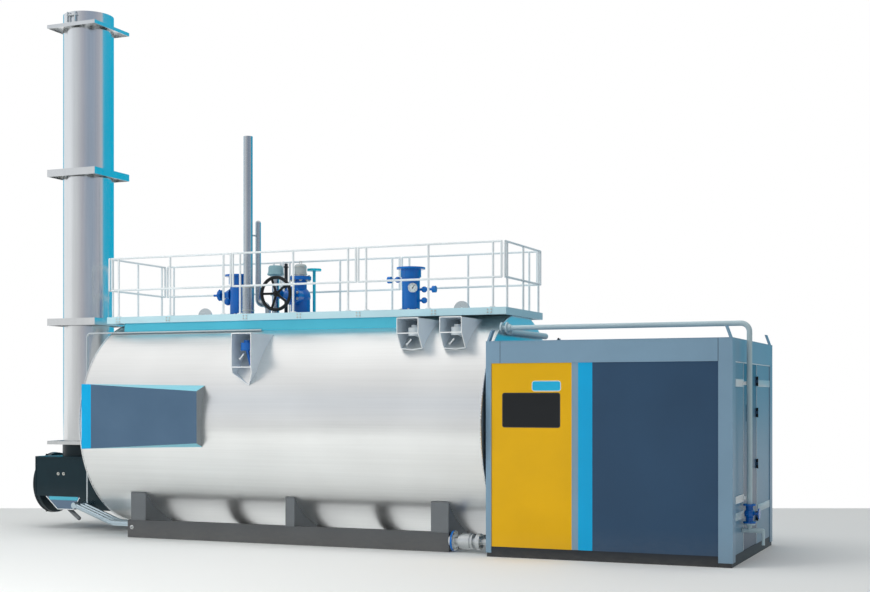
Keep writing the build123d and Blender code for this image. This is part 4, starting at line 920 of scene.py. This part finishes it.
bandPaint = powderCoat("Light teal enamel band, hopper", "#55B4CB", 0.34, 0.05)
hopper = {
    "y": 0.600, "top": 0.574, "left": -5.260, "right": -4.530, "low": 0.347, "lowLeft": -5.014,
    "lowRight": -4.666,
}
bm = bmesh.new()
for side in (-1, 1):
    addSidePlate(bm, (-5.185, -4.575), side * hopper["y"], side * 0.004, (0.508, 0.570), 0.0015)
finishPiece("hopper_band", bm, bandPaint)
bm = bmesh.new()
for side in (-1, 1):
    y = side * (hopper["y"] + 0.002)
    addRun(bm, [
        (hopper["left"] + 0.008, y, hopper["top"] - 0.006), (
            hopper["lowLeft"] + 0.002, y, hopper["low"] + 0.004,
        ),
        (
            hopper["lowRight"] - 0.002, y, hopper["low"] + 0.004,
        ), (hopper["right"] - 0.010, y, hopper["top"] - 0.012),
    ], 0.007, 10)
finishPiece("hopper_edge_trim", bm, whitePaint)
stub = {"start": (-4.905, -0.430, 0.352), "end": (-4.585, -0.560, 0.200), "radius": 0.036}
bm = bmesh.new()
addRod(bm, stub["start"], stub["end"], stub["radius"], 20)
addBall(bm, stub["end"], stub["radius"], 20)
finishPiece("hopper_drain_stub", bm, saddlePaint)
print("flue fittings")

# Stage, light and camera

camera = {
    "place": (10.540, -20.386, 2.307),
    "turn": math.radians(22.95),
    "lens": 57.42,
    "shiftY": 0.1162,
}
cameraData = bpy.data.cameras.new("camera")
cameraData.sensor_width = 36
cameraData.lens = camera["lens"]
cameraData.shift_y = camera["shiftY"]
cameraData.clip_end = 500
cameraObject = bpy.data.objects.new("camera", cameraData)
cameraObject.location = camera["place"]
cameraObject.rotation_euler = (math.radians(90), 0, camera["turn"])
bpy.context.scene.collection.objects.link(cameraObject)
bpy.context.scene.camera = cameraObject

studio = {
    "floorSize": 160,
    "floorColour": "#EFF1F0",
    "floorEdge": 28.8,
}

# The floor turns white past a straight line across the back, as a paper sweep does
floorMaterial, tree, floorShader = startMaterial("Matt studio floor", Roughness=0.8)
where = addNode(tree, "ShaderNodeTexCoord").outputs["Object"]
viewAlong = (-math.sin(camera["turn"]), math.cos(camera["turn"]), 0)
depth = addNode(
    tree, "ShaderNodeVectorMath", {0: where, 1: viewAlong}, operation="DOT_PRODUCT",
).outputs["Value"]
edgeDepth = Vector(camera["place"]).dot(Vector(viewAlong)) + studio["floorEdge"]
past = addNode(
    tree, "ShaderNodeMapRange",
    {"Value": depth, "From Min": edgeDepth - 0.02, "From Max": edgeDepth + 0.02},
).outputs[0]
tree.links.new(
    mixColour(tree, past, linear(studio["floorColour"]), (1, 1, 1, 1)), floorShader.inputs["Base Color"],
)
glow = addNode(tree, "ShaderNodeEmission", {"Color": (1, 1, 1, 1), "Strength": 1.0})
mixed = addNode(tree, "ShaderNodeMixShader", {0: past, 1: floorShader.outputs["BSDF"], 2: glow.outputs[0]})
for node in tree.nodes:
    if node.type == "OUTPUT_MATERIAL":
        tree.links.new(mixed.outputs[0], node.inputs["Surface"])
floorMesh = bpy.data.meshes.new("floor")
bm = bmesh.new()
bmesh.ops.create_grid(bm, x_segments=1, y_segments=1, size=studio["floorSize"] / 2)
bm.to_mesh(floorMesh)
bm.free()
floorObject = bpy.data.objects.new("floor", floorMesh)
bpy.context.scene.collection.objects.link(floorObject)
setMaterial(floorObject, floorMaterial)

# Sky: white to the camera. Matt surfaces get a plain grey dome. Metal mirrors a banded sky that is
# darker towards the right, with a cyan part behind.
world = bpy.data.worlds.new("studio")
world.use_nodes = True
bpy.context.scene.world = world
tree = world.node_tree
tree.nodes.clear()
skyWay = addNode(tree, "ShaderNodeTexCoord").outputs["Generated"]
skyHeight = addNode(tree, "ShaderNodeSeparateXYZ", {"Vector": skyWay}).outputs["Z"]
upward = addNode(tree, "ShaderNodeMapRange", {"Value": skyHeight, "From Min": -1.0}).outputs[0]
mattSky = ramp(tree, upward, [(0.0, 0.30), (0.5, 0.36), (0.62, 0.43), (0.85, 0.55)])


# How far a direction of the sky leans towards a level direction
def skyLean(x, y):
    length = math.hypot(x, y)
    aim = (x / length, y / length, 0)
    return addNode(
        tree, "ShaderNodeVectorMath", {0: skyWay, 1: aim}, operation="DOT_PRODUCT",
    ).outputs["Value"]


metalSky = ramp(tree, upward, [
    (0.0, 0.55), (0.5, 0.80), (
        0.685, (0.64, 0.68, 0.735, 1),
    ), (0.80, 0.72), (0.90, 0.76), (0.94, 0.82), (1.0, 0.92),
])
metalSky = addNode(tree, "ShaderNodeVectorMath", {0: metalSky, "Scale": 1.3}, operation="SCALE").outputs[0]
leanRight = addNode(tree, "ShaderNodeMapRange", {"Value": skyLean(0.72, -0.69), "From Min": -1.0}).outputs[0]
sideTone = ramp(tree, leanRight, [
    (0.0, 1.0), (0.45, 1.0), (0.56, 0.82), (0.74, 0.72), (
        0.90, (0.50, 0.49, 0.53, 1),
    ), (1.0, (0.36, 0.43, 0.52, 1)),
])
metalSky = mixColour(tree, 1.0, metalSky, sideTone, "MULTIPLY")
# Behind and to the right the sky is cyan up to a third of its height, with a sharp edge
behind = addNode(
    tree, "ShaderNodeMapRange", {"Value": skyLean(-0.217, 0.976), "From Min": 0.0, "From Max": 0.03},
).outputs[0]
fromLeft = addNode(
    tree, "ShaderNodeMapRange", {"Value": skyLean(0.3, 0.95), "From Min": 0.0, "From Max": 0.2},
).outputs[0]
low = addNode(
    tree, "ShaderNodeMapRange", {
        "Value": skyHeight, "From Min": 0.30, "From Max": 0.42, "To Min": 1.0, "To Max": 0.0,
    },
).outputs[0]
cyanPart = addNode(tree, "ShaderNodeMath", {0: behind, 1: fromLeft}, operation="MULTIPLY").outputs[0]
cyanPart = addNode(tree, "ShaderNodeMath", {0: cyanPart, 1: low}, operation="MULTIPLY").outputs[0]
metalSky = mixColour(tree, cyanPart, metalSky, linear("#00B8DE"))
rays = addNode(tree, "ShaderNodeLightPath").outputs
mirrored = mixColour(tree, rays["Is Glossy Ray"], mattSky, metalSky)
skyColour = mixColour(tree, rays["Is Camera Ray"], mirrored, (1, 1, 1, 1))
background = addNode(tree, "ShaderNodeBackground", {"Color": skyColour, "Strength": 1.0})
addNode(tree, "ShaderNodeOutputWorld", {"Surface": background.outputs[0]})


# The lamps light matt surfaces only; metal mirrors the sky
def addPanelLight(name, place, aim, width, height, power, colour):
    data = bpy.data.lights.new(name, "AREA")
    data.shape = "RECTANGLE"
    data.size = width
    data.size_y = height
    data.energy = power
    data.color = linear(colour)[:3]
    lamp = bpy.data.objects.new(name, data)
    lamp.location = place
    lamp.rotation_euler = (Vector(aim) - Vector(place)).to_track_quat("-Z", "Y").to_euler()
    lamp.visible_camera = False
    lamp.visible_glossy = False
    bpy.context.scene.collection.objects.link(lamp)
    return lamp


addPanelLight("key panel", (-9, -15, 11), (-0.5, 0, 2.5), 9, 7, 1010, "#FFFDFA")
addPanelLight("top panel", (1, -2, 16), (1, 0, 2), 14, 8, 780, "#FFFFFF")
addPanelLight("low front panel", (-1, -10, 1.6), (0, -1, 0.5), 14, 2.4, 150, "#FFFFFF")
# Light thrown back up by the floor under the shell; the cladding's underside mirrors it
bounce = addPanelLight("floor bounce", (-0.17, 0, 0.012), (-0.17, 0, 1), 6.9, 2.5, 22, "#F4F5F6")
bounce.visible_glossy = True
bpy.context.scene.view_settings.view_transform = "Standard"
print("stage, light and camera ready")
